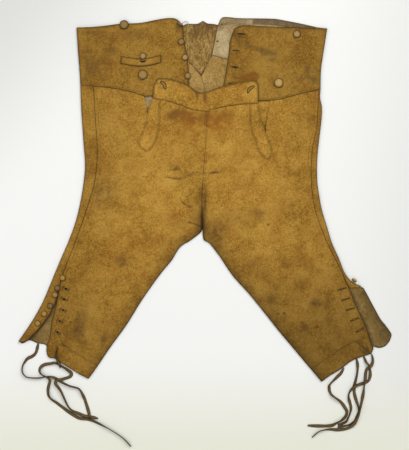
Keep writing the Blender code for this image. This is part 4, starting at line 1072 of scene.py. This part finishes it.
# the long brown mark down the left band's side paints the shade of the crease there
bandMarks = {
    "left": {
        "brown": [
            (-240, 350, 30, 10, 0, 0.3), (-245, 280, 14, 50, 0, 0.3), (-144, 344, 38, 20, 0, 0.42),
            (-75, 236, 36, 10, 0, 0.3), (-150, 262, 26, 20, 0, 0.12), (-52, 352, 9, 20, 0, 0.3),
            (-46, 250, 10, 30, 0, 0.2), (-200, 340, 30, 14, 0, 0.2), (-120, 222, 60, 5, 0, 0.2),
            (-218, 282, 30, 34, 0, 0.26), (-198, 310, 20, 14, 0, 0.3)],
        "grey": [
            (-196, 311, 14, 9, 0, 0.34), (-231, 276, 14, 24, 0, 0.36), (-250, 300, 12, 60, 0, 0.2),
            (-180, 330, 26, 12, 0, 0.12), (-110, 340, 34, 20, 0, 0.1)],
        "red": [(-105, 350, 34, 16, 0, 0.14), (-140, 300, 12, 12, 0, 0.15)],
        "pale": [
            (-90, 262, 22, 26, 0, 0.2), (-64, 318, 16, 30, 0, 0.4), (-200, 250, 34, 10, 0, 0.25),
            (-156, 296, 16, 8, 0, 0.2)]},
    "right": {
        "brown": [
            (62, 350, 12, 12, 0, 0.36), (60, 300, 9, 40, 0, 0.12), (74, 342, 22, 4, -10, 0.3),
            (90, 320, 20, 8, -20, 0.3), (120, 352, 50, 6, 0, 0.15), (150, 332, 34, 10, 0, 0.12),
            (60, 258, 14, 8, 0, 0.2)],
        "grey": [
            (216, 272, 9, 11, 0, 0.6), (229, 247, 10, 11, 0, 0.75), (190, 300, 13, 8, 0, 0.2),
            (237, 270, 6, 7, 0, 0.5), (128, 309, 13, 8, -6, 0.6), (147, 306, 14, 7, 10, 0.5),
            (140, 292, 14, 6, 0, 0.55), (110, 316, 20, 6, -12, 0.5), (243, 256, 7, 18, 0, 0.4),
            (202, 254, 8, 6, 0, 0.7), (190, 266, 5, 4, 0, 0.5), (216, 256, 6, 5, 0, 0.4), (173, 263, 4, 4, 0, 0.5),
            (86, 322, 16, 7, -12, 0.3), (66, 334, 12, 14, 0, 0.3), (70, 302, 8, 22, 0, 0.1)],
        "red": [
            (98, 258, 12, 6, 8, 2.2), (106, 251, 4, 11, 0, 1.9), (84, 253, 12, 5, 6, 0.9), (66, 258, 16, 7, 0, 0.5),
            (140, 300, 40, 24, 0, 0.1)],
        "pale": [
            (150, 262, 30, 14, 0, 0.35), (120, 285, 30, 14, 0, 0.2), (200, 236, 34, 12, 10, 0.4),
            (180, 330, 30, 14, 0, 0.15), (140, 228, 36, 14, 0, 0.45), (232, 328, 20, 36, 0, 0.45),
            (72, 280, 12, 16, 0, 0.5)]},
}
bandCreases = {
    "left": [([(-252, 352), (-248, 310), (-250, 262)], 7, 0.9), ([(-226, 346), (-222, 300), (-226, 254)], 9, -0.6),
             ([(-120, 368), (-112, 330), (-116, 290)], 14, -0.7), ([(-176, 262), (-130, 244), (-84, 240)], 8, 0.5),
             ([(-70, 350), (-62, 310), (-60, 262)], 8, 0.5), ([(-206, 330), (-180, 322), (-160, 330)], 8, 0.5)],
    "right": [([(234, 340), (230, 300), (228, 262)], 8, 0.8), ([(72, 336), (104, 322), (140, 312), (170, 316)], 7, 0.7),
              ([(84, 300), (130, 292), (180, 296)], 12, -0.6), ([(132, 262), (176, 262), (214, 256)], 9, 0.5),
              ([(206, 350), (200, 316), (206, 280)], 10, -0.5), ([(56, 262), (76, 268), (96, 270)], 5, 0.5)],
}


bandEdge = {side: np.vstack([smooth(bandTop[side], 24), smooth(bandFront[side], 16)]) for side in sides}
bandLow = {side: smooth(bandBottom[side], 24) for side in sides}
bandShades = {"left": (0.66, 0.74), "right": (0.72, 0.7)}  # at the side and at the front


def bandTopFace(xy, side):
    # a front waistband's upper face, easing down from its side fold, with creases, swells and a rounded edge
    fromSide = distance(xy, bandSideLine[side])
    atFold = 2 * foldRadius - bandThick
    level = atFold + (levels["band"] - atFold) * rise(fromSide - foldRadius, eases["band"])
    fromEdge = np.minimum(distance(xy, bandEdge[side]), distance(xy, bandLow[side]))
    lift = (creases(xy, bandCreases[side]) + 0.55 * drift(xy, 30, 2.2)) * rise(fromEdge, 14) * rise(fromSide - 3, 10)
    lift += 0.25 * bell(fromEdge - 3.4, 2.0) - 0.35 * bell(fromEdge, 1.0)
    return level + bandThick + np.maximum(lift, -0.7)


def frontBand(side):
    # the main face as a Coons grid, the side fold and the part turned under
    rows = 42
    fold = smooth(bandSide[side], rows)
    centre, around = aroundFold(fold, side)
    across = fineShares(200, 66, edgeSteps[:7], bothEnds=True)
    top = smooth([tuple(centre[0])] + bandTop[side][1:], across)
    bottom = smooth([tuple(centre[-1])] + bandBottom[side][1:], across)
    main = coons(centre, smooth(bandFront[side], rows), top, bottom, across)
    mainFace = withHeight(main, bandTopFace(main, side))
    mainFace[:, 0] = around[:, -1]
    tucked = centre - returnWidth * outward(fold, side)
    turned = np.stack([tucked, centre], axis=1)
    grids = [mainFace, around, withHeight(turned, 0.0)]

    def fields(points):
        xy, (atSide, atFront) = points[:, :2], bandShades[side]
        fromSide = distance(xy, bandSideLine[side])
        made = panelFields(points, bandMarks[side], bandEdge[side],
                           shade=atSide + (atFront - atSide) * rise(fromSide, 90))
        # the side fold's outline is darkened as painted shade
        made["edge"] = np.minimum(np.where(points[:, 2] > 1.5, made["edge"], 40), fromSide + 0.4)
        made["seam"] = np.minimum(distance(xy, bandLow[side]), 40)
        fromEdge = np.minimum(made["edge"], made["seam"])
        made["sewn"] = np.where(points[:, 2] > 3, np.abs(fromEdge - sewnAt["band"]), 40)
        return made

    leatherPanel("front_waistband_" + side, grids, fields, "leather", outerLeather, liningLeather, bandThick,
                 extra=30)


liningMarks = {
    "left": {"brown": [(-52, 350, 12, 20, 0, 0.3)], "grey": [(-60, 330, 20, 30, 0, 0.3)]},
    "right": {"brown": [(30, 362, 4, 4, 0, 0.5), (28, 306, 14, 3, -10, 0.25)],
              "grey": [
                  (36, 330, 10, 20, 20, 0.15), (62, 376, 20, 4, 0, 0.35), (34, 290, 20, 12, 0, 0.35),
                  (80, 374, 16, 5, 0, 0.2)],
              "red": [(130, 374, 50, 6, -4, 0.15)],
              "pale": [(38, 340, 12, 28, 14, 1.0), (50, 374, 22, 5, 0, 0.3)]},
}


def backBand(side):
    # ruled between its top and its lower seam
    toward = 1 if side == "left" else -1
    fold = smooth(bandSide[side], 3)
    tucked = fold - (foldRadius + returnWidth + seamGap) * outward(fold, side)
    top = smooth(backBandTop[side][:-1] + [tuple(tucked[0])], 56)
    seam = smooth(backBandSeam[side][:-1] + [tuple(tucked[-1])], 56) + (0, buttGap / 2)
    grid = ruled(top, seam, np.linspace(0, 1, 30))
    grid[:, 0, 0] -= toward * buttGap
    face = withHeight(grid, leather + 0.12 * drift(grid, 16, 0.4))

    def fields(points):
        fromTop = distance(points[:, :2], top)
        made = panelFields(points, liningMarks[side], np.vstack([top, seam[::-1]]), row=fromTop - 12.5)
        made["sewn"] = np.abs(made["edge"] - sewnAt["lining"])
        if side == "right":  # the turned edge along the top is darker, and more so beyond the front
            turned, beyond = rise(14 - fromTop, 2), rise(points[:, 0] - 98, 5)
            made["marks"][:, 0] += turned * (0.22 + 0.5 * beyond)
            made["shade"] = 1 - 0.12 * turned - 0.2 * turned * beyond
        return made

    leatherPanel("back_waistband_" + side, [face], fields, "inner_leather", liningLeather, outerLeather,
                 thick=leather - 0.2, bevel=0.3)


gussetMarks = {
    "brown": [(0, 364, 24, 8, 0, 0.75), (8, 350, 10, 10, 0, 0.3), (-20, 352, 20, 8, 0, 0.3), (-8, 290, 8, 14, 0, 0.15)],
    "grey": [(-30, 330, 8, 20, 0, 0.25)],
    "pale": [(-4, 320, 14, 26, 0, 0.3), (-10, 280, 8, 12, 0, 0.2)],
}


def backGusset():
    # a Coons grid between its two sloping sides, from the top to the point
    top, left, right = smooth(gussetTop, 28), smooth(gussetLeft, 60), smooth(gussetRight, 60)
    down = np.linspace(0, 1, 61)[:, None]  # the edges lie a little over the bands, so that no light shows between
    lap = 0.9
    left = left - (lap, 0) * (1 - down) - (0, lap) * down
    right = right + (lap, 0) * (1 - down) - (0, lap) * down
    grid = coons(left, right, top, np.repeat(left[-1:], 29, axis=0))
    edge = np.vstack([top, right, left[::-1]])
    face = withHeight(grid, leather + 0.25 * drift(grid, 9, 1.7) * rise(distance(grid, edge), 6))

    def fields(points):
        made = panelFields(points, gussetMarks, edge)
        made["sewn"] = np.abs(made["edge"] - sewnAt["gusset"])
        return made

    leatherPanel("back_gusset", [face], fields, "gusset_leather", gussetLeather, outerLeather, thick=leather - 0.3,
                 bevel=0.3)


for side in sides:
    frontBand(side)
    backBand(side)
backGusset()
print("waistbands ready")


bearerLooks = {
    "left": {"slot": "inner_leather", "finish": liningLeather, "brown": [(-141, 180, 6, 30, 0, 0.2)]},
    "right": {"slot": "leather", "finish": outerLeather, "brown": [(140, 190, 5, 8, 0, 0.1)]},
}


def bearerPiece(side):
    # rings of the outline drawn together to the middle
    look, corners = bearerLooks[side], bearer[side]
    sidesOfIt = [smooth(pair, 10) for pair in zip(corners, corners[1:])]
    line = join(*sidesOfIt, smooth([corners[-1], corners[0]], 6))
    grid = ruled(line, line[:-1].mean(0)[None], np.array([0, 0.03, 0.08, 0.16, 0.3, 0.5, 0.75, 1.0]))

    def fields(points):
        return panelFields(points, {"brown": look["brown"], "grey": [(-141, 170, 8, 40, 0, 0.3)],
                                    "pale": [(-140, 205, 8, 12, 0, 0.3)]}, line)

    leatherPanel("bearer_" + side, [withHeight(grid, levels["edge"] + 1.2)], fields, look["slot"], look["finish"],
                 innerLeather, thick=1.1, bevel=0)


for side in sides:
    bearerPiece(side)

fallMarks = {
    "brown": [
        (-16, 216, 3.2, 8, 10, 0.8), (0.5, 214, 4.2, 10, 0, 0.85), (-8, 224, 14, 4, 0, 0.4),
        (-90, 236, 10, 8, 0, 0.12), (60, 200, 40, 6, 5, 0.1), (-50, 205, 30, 6, -15, 0.12),
        (14, 204, 14, 10, 0, 0.2)],
    "grey": [(-88, 238, 9, 9, 0, 0.2), (100, 232, 10, 10, 0, 0.15)],
    "red": [(0, 212, 16, 14, 0, 0.3), (30, 220, 20, 10, 0, 0.15), (-30, 226, 18, 8, 0, 0.15)],
    "pale": [
        (97, 232, 9, 8, 50, 0.95), (-60, 226, 24, 12, -20, 0.35), (50, 220, 30, 12, 10, 0.3),
        (-100, 224, 6, 14, 0, 0.2)],
}
fallEdge = smooth(fallBandTop, 60)
fallSeamLine = smooth(fallBandSeam, 40)


fallDents = [([(-14, 224), (-16, 212), (-20, 200)], 3.0, 0.9), ([(2, 222), (0, 210), (4, 196)], 3.2, 1.0),
             ([(-8, 222), (-8, 206)], 4.0, -0.6), ([(40, 232), (60, 220), (80, 214)], 7, -0.5),
             ([(-90, 246), (-70, 232), (-50, 222)], 7, -0.5)]


def fallTopFace(xy):
    # the fall band's upper face: dents and swells within its edges, which are rounded
    fromEdge, fromSeam = distance(xy, fallEdge), distance(xy, fallSeamLine)
    lift = (creases(xy, fallDents) + 0.4 * drift(xy, 18, 0.7)) * rise(fromEdge, 10) * rise(fromSeam, 8)
    lift += 0.3 * bell(fromEdge - 3.4, 2) - 0.5 * bell(fromEdge, 1) - 0.5 * bell(fromSeam, 1.2)
    return levels["body"] + bandThick + lift


def fallBandPiece():
    # ruled between its top and its seam, without the two pointed ends
    columns = 150
    top, seam = smooth(fallBandTop, columns), smooth(fallBandSeam, columns)
    top[0], top[-1] = seam[0], seam[-1]
    grid = ruled(top[1:-1], seam[1:-1], fineShares(38, 16, edgeSteps[:6], bothEnds=True))
    face = withHeight(grid, fallTopFace(grid))

    def fields(points):
        made = panelFields(points, fallMarks, fallEdge, fallSeamLine)
        made["seam"] = made["seam"] + 1.0
        made["sewn"] = np.abs(made["edge"] - sewnAt["fall"])
        return made

    leatherPanel("fall_band", [face], fields, "leather", outerLeather, liningLeather, bandThick)


def stripTop(xy, side):
    return frontTop(xy, side) + restGap + leather


def fallStrip(side):
    # ruled between its outer and its inner edge, which meet at the point
    outer, inner = smooth(stripOuter[side], 60), smooth(stripInner[side], 60)
    grid = ruled(outer, inner, fineShares(20, 8, stripSteps, bothEnds=True)).swapaxes(0, 1)[:-1]
    outline = np.vstack([outer, inner[::-1]])
    away = distance(grid, outline)
    face = withHeight(grid, stripTop(grid, side) + 0.25 * rise(away, 5) - 0.45 * bell(away, 0.9))

    def fields(points):
        made = panelFields(points, frontMarks, outline)
        made["sewn"] = np.abs(made["edge"] - sewnAt["strip"])
        made["edge"] = made["edge"] + 1.6
        return made

    leatherPanel("fall_placket_" + side, [face], fields, "leather", outerLeather, innerLeather,
                 bevel=0.3)


weltMarks = {"brown": [(-130, 281, 30, 3, 0, 0.3)], "grey": [(-134, 289, 40, 8, 0, 0.12)]}


def weltLevel(xy):
    return bandTopFace(xy, "left") + restGap + leather


def fobWelt():
    # ruled between its upper and its lower edge
    across = fineShares(86, 40, stripSteps, bothEnds=True)
    grid = ruled(smooth(weltTop, across), smooth(weltBottom, across), fineShares(17, 8, stripSteps, bothEnds=True))
    upper = smooth(weltTop, 20)
    outline = np.vstack([upper, smooth(weltBottom, 20)[::-1], upper[:1]])
    away = distance(grid, outline)
    face = withHeight(grid, weltLevel(grid) + 0.2 * rise(away, 4) - 0.45 * bell(away, 0.9))

    def fields(points):
        made = panelFields(points, weltMarks, outline, shade=0.8)
        made["sewn"] = np.abs(made["edge"] - sewnAt["welt"])
        return made

    leatherPanel("fob_welt", [face], fields, "leather", outerLeather, innerLeather,
                 bevel=0.3)


fallBandPiece()
for side in sides:
    fallStrip(side)
fobWelt()
print("fall and welt ready")

# Buttons: x, y, diameter, tilt in degrees, direction it leans to, finish
buttonTable = {
    "brace_button_left": (-169, 366, 19.5, 0, 0, "worn"),
    "fall_button_left": (-130, 261, 21.0, 0, 0, "greyed"),
    "fob_button": (-129.5, 300, 14.0, 0, 0, "rubbed"),
    "front_button_1": (-53, 365, 15.0, 62, 60, "soiled"),
    "front_button_2": (-49.5, 330, 14.7, 0, 0, "worn"),
    "front_button_3": (-41.5, 297.5, 13.6, 0, 0, "rubbed"),
    "front_button_4": (-35.5, 258.5, 13.6, 0, 0, "greyed"),
    "brace_button_right": (193, 346, 16.4, 0, 0, "rubbed"),
    "fall_button_right": (155, 244, 20.0, 0, 0, "pale"),
    "knee_button_left_1": (-298, -165, 12.5, 0, 0, "knee"),
    "knee_button_left_2": (-309, -186, 12.5, 0, 0, "soiled"),
    "knee_button_left_3": (-314, -200.5, 12.5, 0, 0, "greyed"),
    "knee_button_left_4": (-324, -223.5, 12.5, 0, 0, "soiled"),
    "knee_button_left_5": (-336.5, -240, 12.5, 0, 0, "knee"),
    "knee_button_left_6": (-350, -260, 12.5, 0, 0, "knee"),
    "knee_button_right": (312.7, -171.1, 11.5, 64, 58, "pale"),
}
buttonShape = {"height": 4.0, "sides": 48}
# its profile: share of the radius and of the height, from the shank up to the crown
buttonProfile = np.array([
    (0.5, 0.0), (0.7, 0.02), (0.84, 0.09), (0.94, 0.2), (0.985, 0.34), (0.985, 0.46), (0.95, 0.6), (0.88, 0.72),
    (0.78, 0.81), (0.64, 0.89), (0.48, 0.95), (0.3, 0.99), (0.12, 1.0)])


def addButton(name, x, y, diameter, tilt, lean, look):
    # a low dome turned round its axis, a little out of round and gathered at the rim, with a soft dent
    out, up = buttonProfile[:, :1], buttonProfile[:, 1:]
    turn = np.linspace(0, 2 * np.pi, buttonShape["sides"], endpoint=False)
    uneven = 1 + 0.012 * np.sin(3 * turn + x) + 0.01 * np.sin(5 * turn + y)
    uneven = uneven + 0.012 * np.sin(13 * turn + x) * bell(out - 0.9, 0.12)
    radius = out * diameter / 2 * uneven
    height = np.broadcast_to(up * buttonShape["height"], radius.shape)
    rings = np.stack([radius * np.cos(turn), radius * np.sin(turn), height], axis=-1)
    dent = bell(np.linalg.norm(rings[..., :2] - (diameter * 0.08, diameter * 0.05), axis=-1), diameter * 0.2)
    rings[..., 2] -= 0.25 * dent * (up > 0.7)
    rim = np.where(up > 0.3, out, np.where(up > 0.05, 0.95, 0.7))
    rim = np.broadcast_to(rim, radius.shape).reshape(-1)
    leaning = Matrix.Rotation(math.radians(lean), 3, "Z") @ Matrix.Rotation(math.radians(tilt), 3, "Y")
    points = rings.reshape(-1, 3) @ np.array(leaning).T
    points += (x, y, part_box(name)[0][2] / mm - points[:, 2].min())  # it stands where its solid does
    made = newMesh(name + "_covered", points, ringFaces(*radius.shape), {"rim": rim})
    finish(made, "button_leather", buttonMaterials[look])
    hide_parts(name)


for name, place in buttonTable.items():
    addButton(name, *place)
print("buttons ready")


# Stitches and buttonholes
stitchShape = {"long": 2.3, "wide": 0.75, "high": 0.4, "pitch": 3.1}


def stitchMesh(name, rows, slot, material, seed):
    # a small pointed oval, repeated along each row at an even pitch, each turned along the row
    stations = np.array([-1, -0.72, 0, 0.72, 1])
    swell = np.array([0.12, 0.75, 1, 0.75, 0.12])[:, None]
    around = np.linspace(0, 2 * np.pi, 6, endpoint=False)
    oval = np.stack([np.repeat(stations[:, None], 6, 1) * stitchShape["long"] / 2,
                     swell * np.cos(around) * stitchShape["wide"] / 2,
                     swell * np.sin(around) * stitchShape["high"] / 2], axis=-1).reshape(1, 30, 3)
    one = ringFaces(5, 6)
    random = np.random.default_rng(seed)
    points, faces, base = [], [], 0
    for row in rows:
        full = lengths(row)[-1]
        count = max(1, int(full / stitchShape["pitch"]))
        places = (np.arange(count) + 0.5) * full / count + random.normal(0, 0.12, count)
        along, side, up = crossways(pointsAt(row, places + 0.8) - pointsAt(row, places - 0.8))
        size = 1 + random.normal(0, 0.08, count)[:, None, None]
        placed = (pointsAt(row, places)[:, None] + size * oval[..., :1] * along[:, None]
                  - oval[..., 1:2] * side[:, None] + oval[..., 2:] * up[:, None])
        points.append(placed.reshape(-1, 3))
        starts = base + 30 * np.arange(count)
        for part in (np.array(one[:-2]), np.array(one[-2:])):  # the four-sided faces, then the ends
            faces += (part[None] + starts[:, None, None]).reshape(-1, part.shape[1]).tolist()
        base += 30 * count
    return finish(newMesh(name, np.vstack(points), faces), slot, material)


def laid(rows, height, lift=0.12):
    # lines laid on a face, whose height is a function of the place
    return [withHeight(row, height(row) + lift) for row in rows]


def flatLevel(xy):
    return np.full(xy.shape[:-1], leather)


for side, sign in (("left", 1), ("right", -1)):
    hemRow = inset(join(smooth(outerHem[side], 60), smooth(innerHem[side], 20)), sign * (casing + 2.6))
    keep = (distance(hemRow, placketLine[side]) > 10) & (distance(hemRow, inseamLine[side]) > 3)
    placketRow = smooth(placket[side], 60)
    centreRow = inset(smooth(centreFrontTop, 20), -3.2 * sign)
    rows = [inset(smooth(sideSeam[side], 200), sign * sewnAt["front"]), hemRow[keep],
            inset(placketRow, sign * 4.0)[2:-4], inset(placketRow, sign * 24.0)[2:-10]]
    rows += [centreRow[1:12]] if side == "left" else [centreRow[1:14], inset(smooth(centreFront, 60), 4.2)[4:]]
    stitchMesh("stitches_front_leg_" + side, laid(rows, lambda xy: frontTop(xy, side, True)), "leather", threadBuff, 3)
    rows = [inset(smooth(bandTop[side], 120), -sign * sewnAt["band"])[4:-3],
            inset(smooth(bandFront[side], 60), -sign * sewnAt["band"])[2:-2],
            inset(smooth(bandBottom[side], 120), sign * sewnAt["band"])[4:62]]
    stitchMesh("stitches_waistband_" + side, laid(rows, lambda xy: bandTopFace(xy, side)), "leather", threadBuff, 5)
rows = [inset(smooth(fallBandTop, 200), -sewnAt["fall"])[4:-4], inset(smooth(fallBandSeam, 120), 1.8)[3:-3]]
stitchMesh("stitches_fall_band", laid(rows, fallTopFace), "leather", threadBuff, 7)
for side, sign in (("left", 1), ("right", -1)):
    rows = [inset(smooth(stripOuter[side], 80), sign * sewnAt["strip"])[3:-5],
            inset(smooth(stripInner[side], 80), -sign * sewnAt["strip"])[3:-5]]
    stitchMesh("stitches_strip_" + side, laid(rows, lambda xy: stripTop(xy, side), 0.35), "leather", threadBuff, 9)
rows = [inset(smooth(weltBottom, 40), sewnAt["welt"])[1:-1], smooth([(-173, 299), (-174, 285)], 4),
        smooth([(-94, 301), (-94, 287)], 4)]
stitchMesh("stitches_fob_welt", laid(rows, weltLevel, 0.3), "leather", threadBuff, 11)
rows = [inset(smooth(gussetRight, 60), -sewnAt["gusset"])[2:-3], inset(smooth(gussetLeft, 60), sewnAt["gusset"])[8:-3]]
stitchMesh("stitches_gusset", laid(rows, flatLevel, 0.25), "gusset_leather", threadBuff, 13)
rows = [inset(smooth(backBandTop["right"], 120), -15.5)[3:30],
        inset(smooth(backBandSeam["right"], 40), sewnAt["lining"])[1:10]]
stitchMesh("stitches_back_band", laid(rows, flatLevel, 0.25), "inner_leather", threadBuff, 15)
print("stitches ready")

holeShape = {"rim": 0.7, "slit": 1.5, "reach": 1.9}


def addHole(line, height, wide):
    # a slit shaped as a lens, a sheet laid on the face for the hole's painted shade, and a corded rim carried round it
    line = smooth(line, 24)
    spread = wide * lensWidth(len(line))[:, None]
    square = -outward(line, "left")
    rowsAcross = np.linspace(-1, 1, 5)[None, :, None]
    slit = line[:, None] + square[:, None] * (holeShape["slit"] * spread)[:, None] * rowsAcross
    slit = withHeight(slit, height(slit) + 0.16 - 0.06 * (1 - rowsAcross[..., 0] ** 2))
    reach = square * holeShape["reach"] * spread
    loop = np.vstack([line + reach, (line - reach)[::-1], (line + reach)[:1]])
    full = lengths(loop)[-1]
    loop = pointsAt(loop, np.linspace(0, full, int(full / 0.55) + 1)[:-1])
    tangent = np.roll(loop, -1, 0) - np.roll(loop, 1, 0)
    tangent /= np.maximum(np.linalg.norm(tangent, axis=1), 1e-6)[:, None]
    normal = np.stack([-tangent[:, 1], tangent[:, 0]], axis=1)
    a = np.linspace(0, 2 * np.pi, 8, endpoint=False)
    radius = holeShape["rim"] * (1 + 0.22 * np.cos(np.pi * np.arange(len(loop))))[:, None]
    rim = loop[:, None] + normal[:, None] * (radius * np.cos(a))[..., None]
    return slit, withHeight(rim, height(loop)[:, None] + 0.2 + radius * np.sin(a) * 0.8)


def lensWidth(count):
    # half the width of a lens along its run: the root of a sine
    return np.sin(np.pi * (0.03 + 0.94 * np.linspace(0, 1, count))) ** 0.5


def bar(line, height):
    # a thread tacked across the end of a hole: a narrow lens laid on the face
    line = smooth(line, 24)
    half = (0.85 * lensWidth(len(line)))[:, None, None] * np.linspace(-1, 1, 5)[None, :, None]
    grid = line[:, None] + outward(line, "left")[:, None] * half
    return withHeight(grid, height(grid) + 0.3)


def holesPiece(name, holes, height, slot="leather", worn=False, tacks=0.0):
    # the slits, their worked rims and the bars across both ends, each a piece of its own
    slits, rims = zip(*(addHole(line, height, wide) for line, wide in holes))
    points, faces = weld(slits)
    finish(newMesh(name + "_slits", points, faces[:, ::-1]), slot, slitWorn if worn else slitDark)
    if tacks:
        bars = []
        for first, last in ((line[i], line[-1 - i]) for line, wide in holes for i in (0, -1)):
            along = unit(np.subtract(first, last))
            across = np.array([-along[1], along[0]]) * tacks
            middle = first + along * 2.2
            bars.append(bar([middle - across - along * 1.2, middle + along * 0.4, middle + across - along * 1.2],
                            height))
        points, faces = weld(bars)
        finish(newMesh(name + "_tacks", points, facingUp(points, faces)), slot, threadDark)
    made = newMesh(name + "_rims", *weld([np.pad(rim, ((0, 1), (0, 1), (0, 0)), mode="wrap") for rim in rims]))
    turnOutwards(made)
    finish(made, slot, threadDark if worn else threadHole)


holesPiece("band_holes", [([(66, 347), (76, 346.5), (87, 345.5)], 1.2), ([(57, 311.5), (66, 312), (74, 310)], 0.8),
                          ([(55, 277.5), (63, 277), (71, 275.5)], 1.25), ([(48, 243), (53, 243.6), (58, 243.6)], 0.9)],
           lambda xy: bandTopFace(xy, "right"))
holesPiece("fall_holes", [([(-93, 245), (-87.7, 244), (-84, 238), (-82.4, 230.5)], 1.6),
                          ([(89.8, 222.5), (93, 230), (97, 233.5), (103.4, 237)], 1.6)], fallTopFace, worn=True)
holesPiece("fob_hole", [([(-137, 290.5), (-129.5, 288.2), (-122, 291)], 1.1)],
           lambda xy: weltLevel(xy) + 0.2)
holesPiece("knee_holes_left", [([(-295, -186), (-287, -190)], 1.5), ([(-299, -208), (-291, -211.5)], 1.4),
                               ([(-301, -231), (-293, -234)], 1.3), ([(-307.5, -254), (-300.5, -257.5)], 1.4),
                               ([(-311.5, -277), (-305.5, -281)], 1.5)], lambda xy: frontTop(xy, "left", True),
           tacks=4.6)
holesPiece("knee_holes_right", [([(282, -190), (294, -186.5)], 0.6), ([(290.5, -211.5), (301.5, -208)], 0.6),
                                ([(299, -232.5), (311.4, -228.7)], 0.7), ([(307.5, -254.5), (320.5, -249.8)], 0.7),
                                ([(319.5, -277.8), (330.5, -271.8)], 0.7)], lambda xy: frontTop(xy, "right", True),
           worn=True, tacks=2.6)
holesPiece("eyelets", [([(34.4, 367.4), (38.2, 366.8)], 0.85), ([(24.8, 331.2), (28.4, 331.8)], 0.8)],
           lambda xy: flatLevel(xy) + 0.15, "inner_leather")


def threadLoop(name, route, radius):
    # a six-sided tube along a route
    path = smooth(route, 40)
    side, up = crossways(np.gradient(path, axis=0))[1:]
    a = np.linspace(0, 2 * np.pi, 6, endpoint=False)[None, :, None]
    rings = path[:, None] + radius * (np.cos(a) * side[:, None] + np.sin(a) * up[:, None])
    made = newMesh(name, rings.reshape(-1, 3), ringFaces(*rings.shape[:2]))
    turnOutwards(made)
    finish(made, "inner_leather", threadPale)


threadLoop("thread_loop", [(-49, 364, 3.0), (-46, 370, 3.4), (-41, 373, 3.2), (-36.5, 371.5, 2.6), (-34, 366, 2.1),
                           (-33, 361, 1.9)], 0.5)
print("buttonholes ready")

# Floor, walls of light and the world
# the floor is palest in the middle and darker towards the upper left and the right as painted shade; towards the bottom
# it is darker and yellower
floorLook = {"size": 6.0, "middle": tone(0.86, 0.862, 0.84), "corner": tone(0.63, 0.635, 0.61),
             "bottom": tone(0.77, 0.77, 0.65)}
half = floorLook["size"] / 2
floorMesh = bpy.data.meshes.new("floor")
floorMesh.from_pydata([(-half, -half, 0), (half, -half, 0), (half, half, 0), (-half, half, 0)], [], [(0, 1, 2, 3)])
floor = bpy.data.objects.new("floor", floorMesh)
scene.collection.objects.link(floor)
floorMaterial, floorStart, floorPlace = startMaterial("paper_floor")
floorX = floorStart.node("ShaderNodeSeparateXYZ", {}, {"Vector": floorPlace})
floorY = Wire(floorStart.tree, floorX.socket.node.outputs[1])
floorColour = ((floorX * -1.0 + floorY - 0.35).step(0.0, 0.55) * 0.9).blend(floorLook["middle"], floorLook["corner"])
floorColour = (floorX.step(0.18, 0.5) * 0.45).blend(floorColour, floorLook["corner"])
floorColour = floorY.step(-0.3, -0.56).blend(floorColour, floorLook["bottom"])
connect(floorMaterial, floorColour, 0.9, 0.1)
floorMesh.materials.append(floorMaterial)

lights = [  # name, place, size, watts: one key from the upper right, a soft fill from the left
    ("key", (1.1, 1.9, 2.4), 1.8, 55.0),
    ("fill", (-2.0, 0.2, 2.4), 2.6, 32.0),
    ("front", (0.4, -2.2, 2.2), 2.4, 15.0),
]
for name, place, size, watts in lights:
    lamp = bpy.data.lights.new(name, "AREA")
    lamp.shape = "SQUARE"
    lamp.size = size
    lamp.energy = watts
    lampObject = bpy.data.objects.new(name, lamp)
    lampObject.location = place
    aim = -np.array(place) / np.linalg.norm(place)
    lampObject.rotation_euler = (math.acos(-aim[2]), 0, math.atan2(aim[1], aim[0]) - math.pi / 2)
    scene.collection.objects.link(lampObject)
world = bpy.data.worlds.new("studio")
world.use_nodes = True
background = world.node_tree.nodes["Background"].inputs
background["Color"].default_value = tone(1.0, 1.0, 1.0)
background["Strength"].default_value = 0.44
scene.world = world
print("light ready")
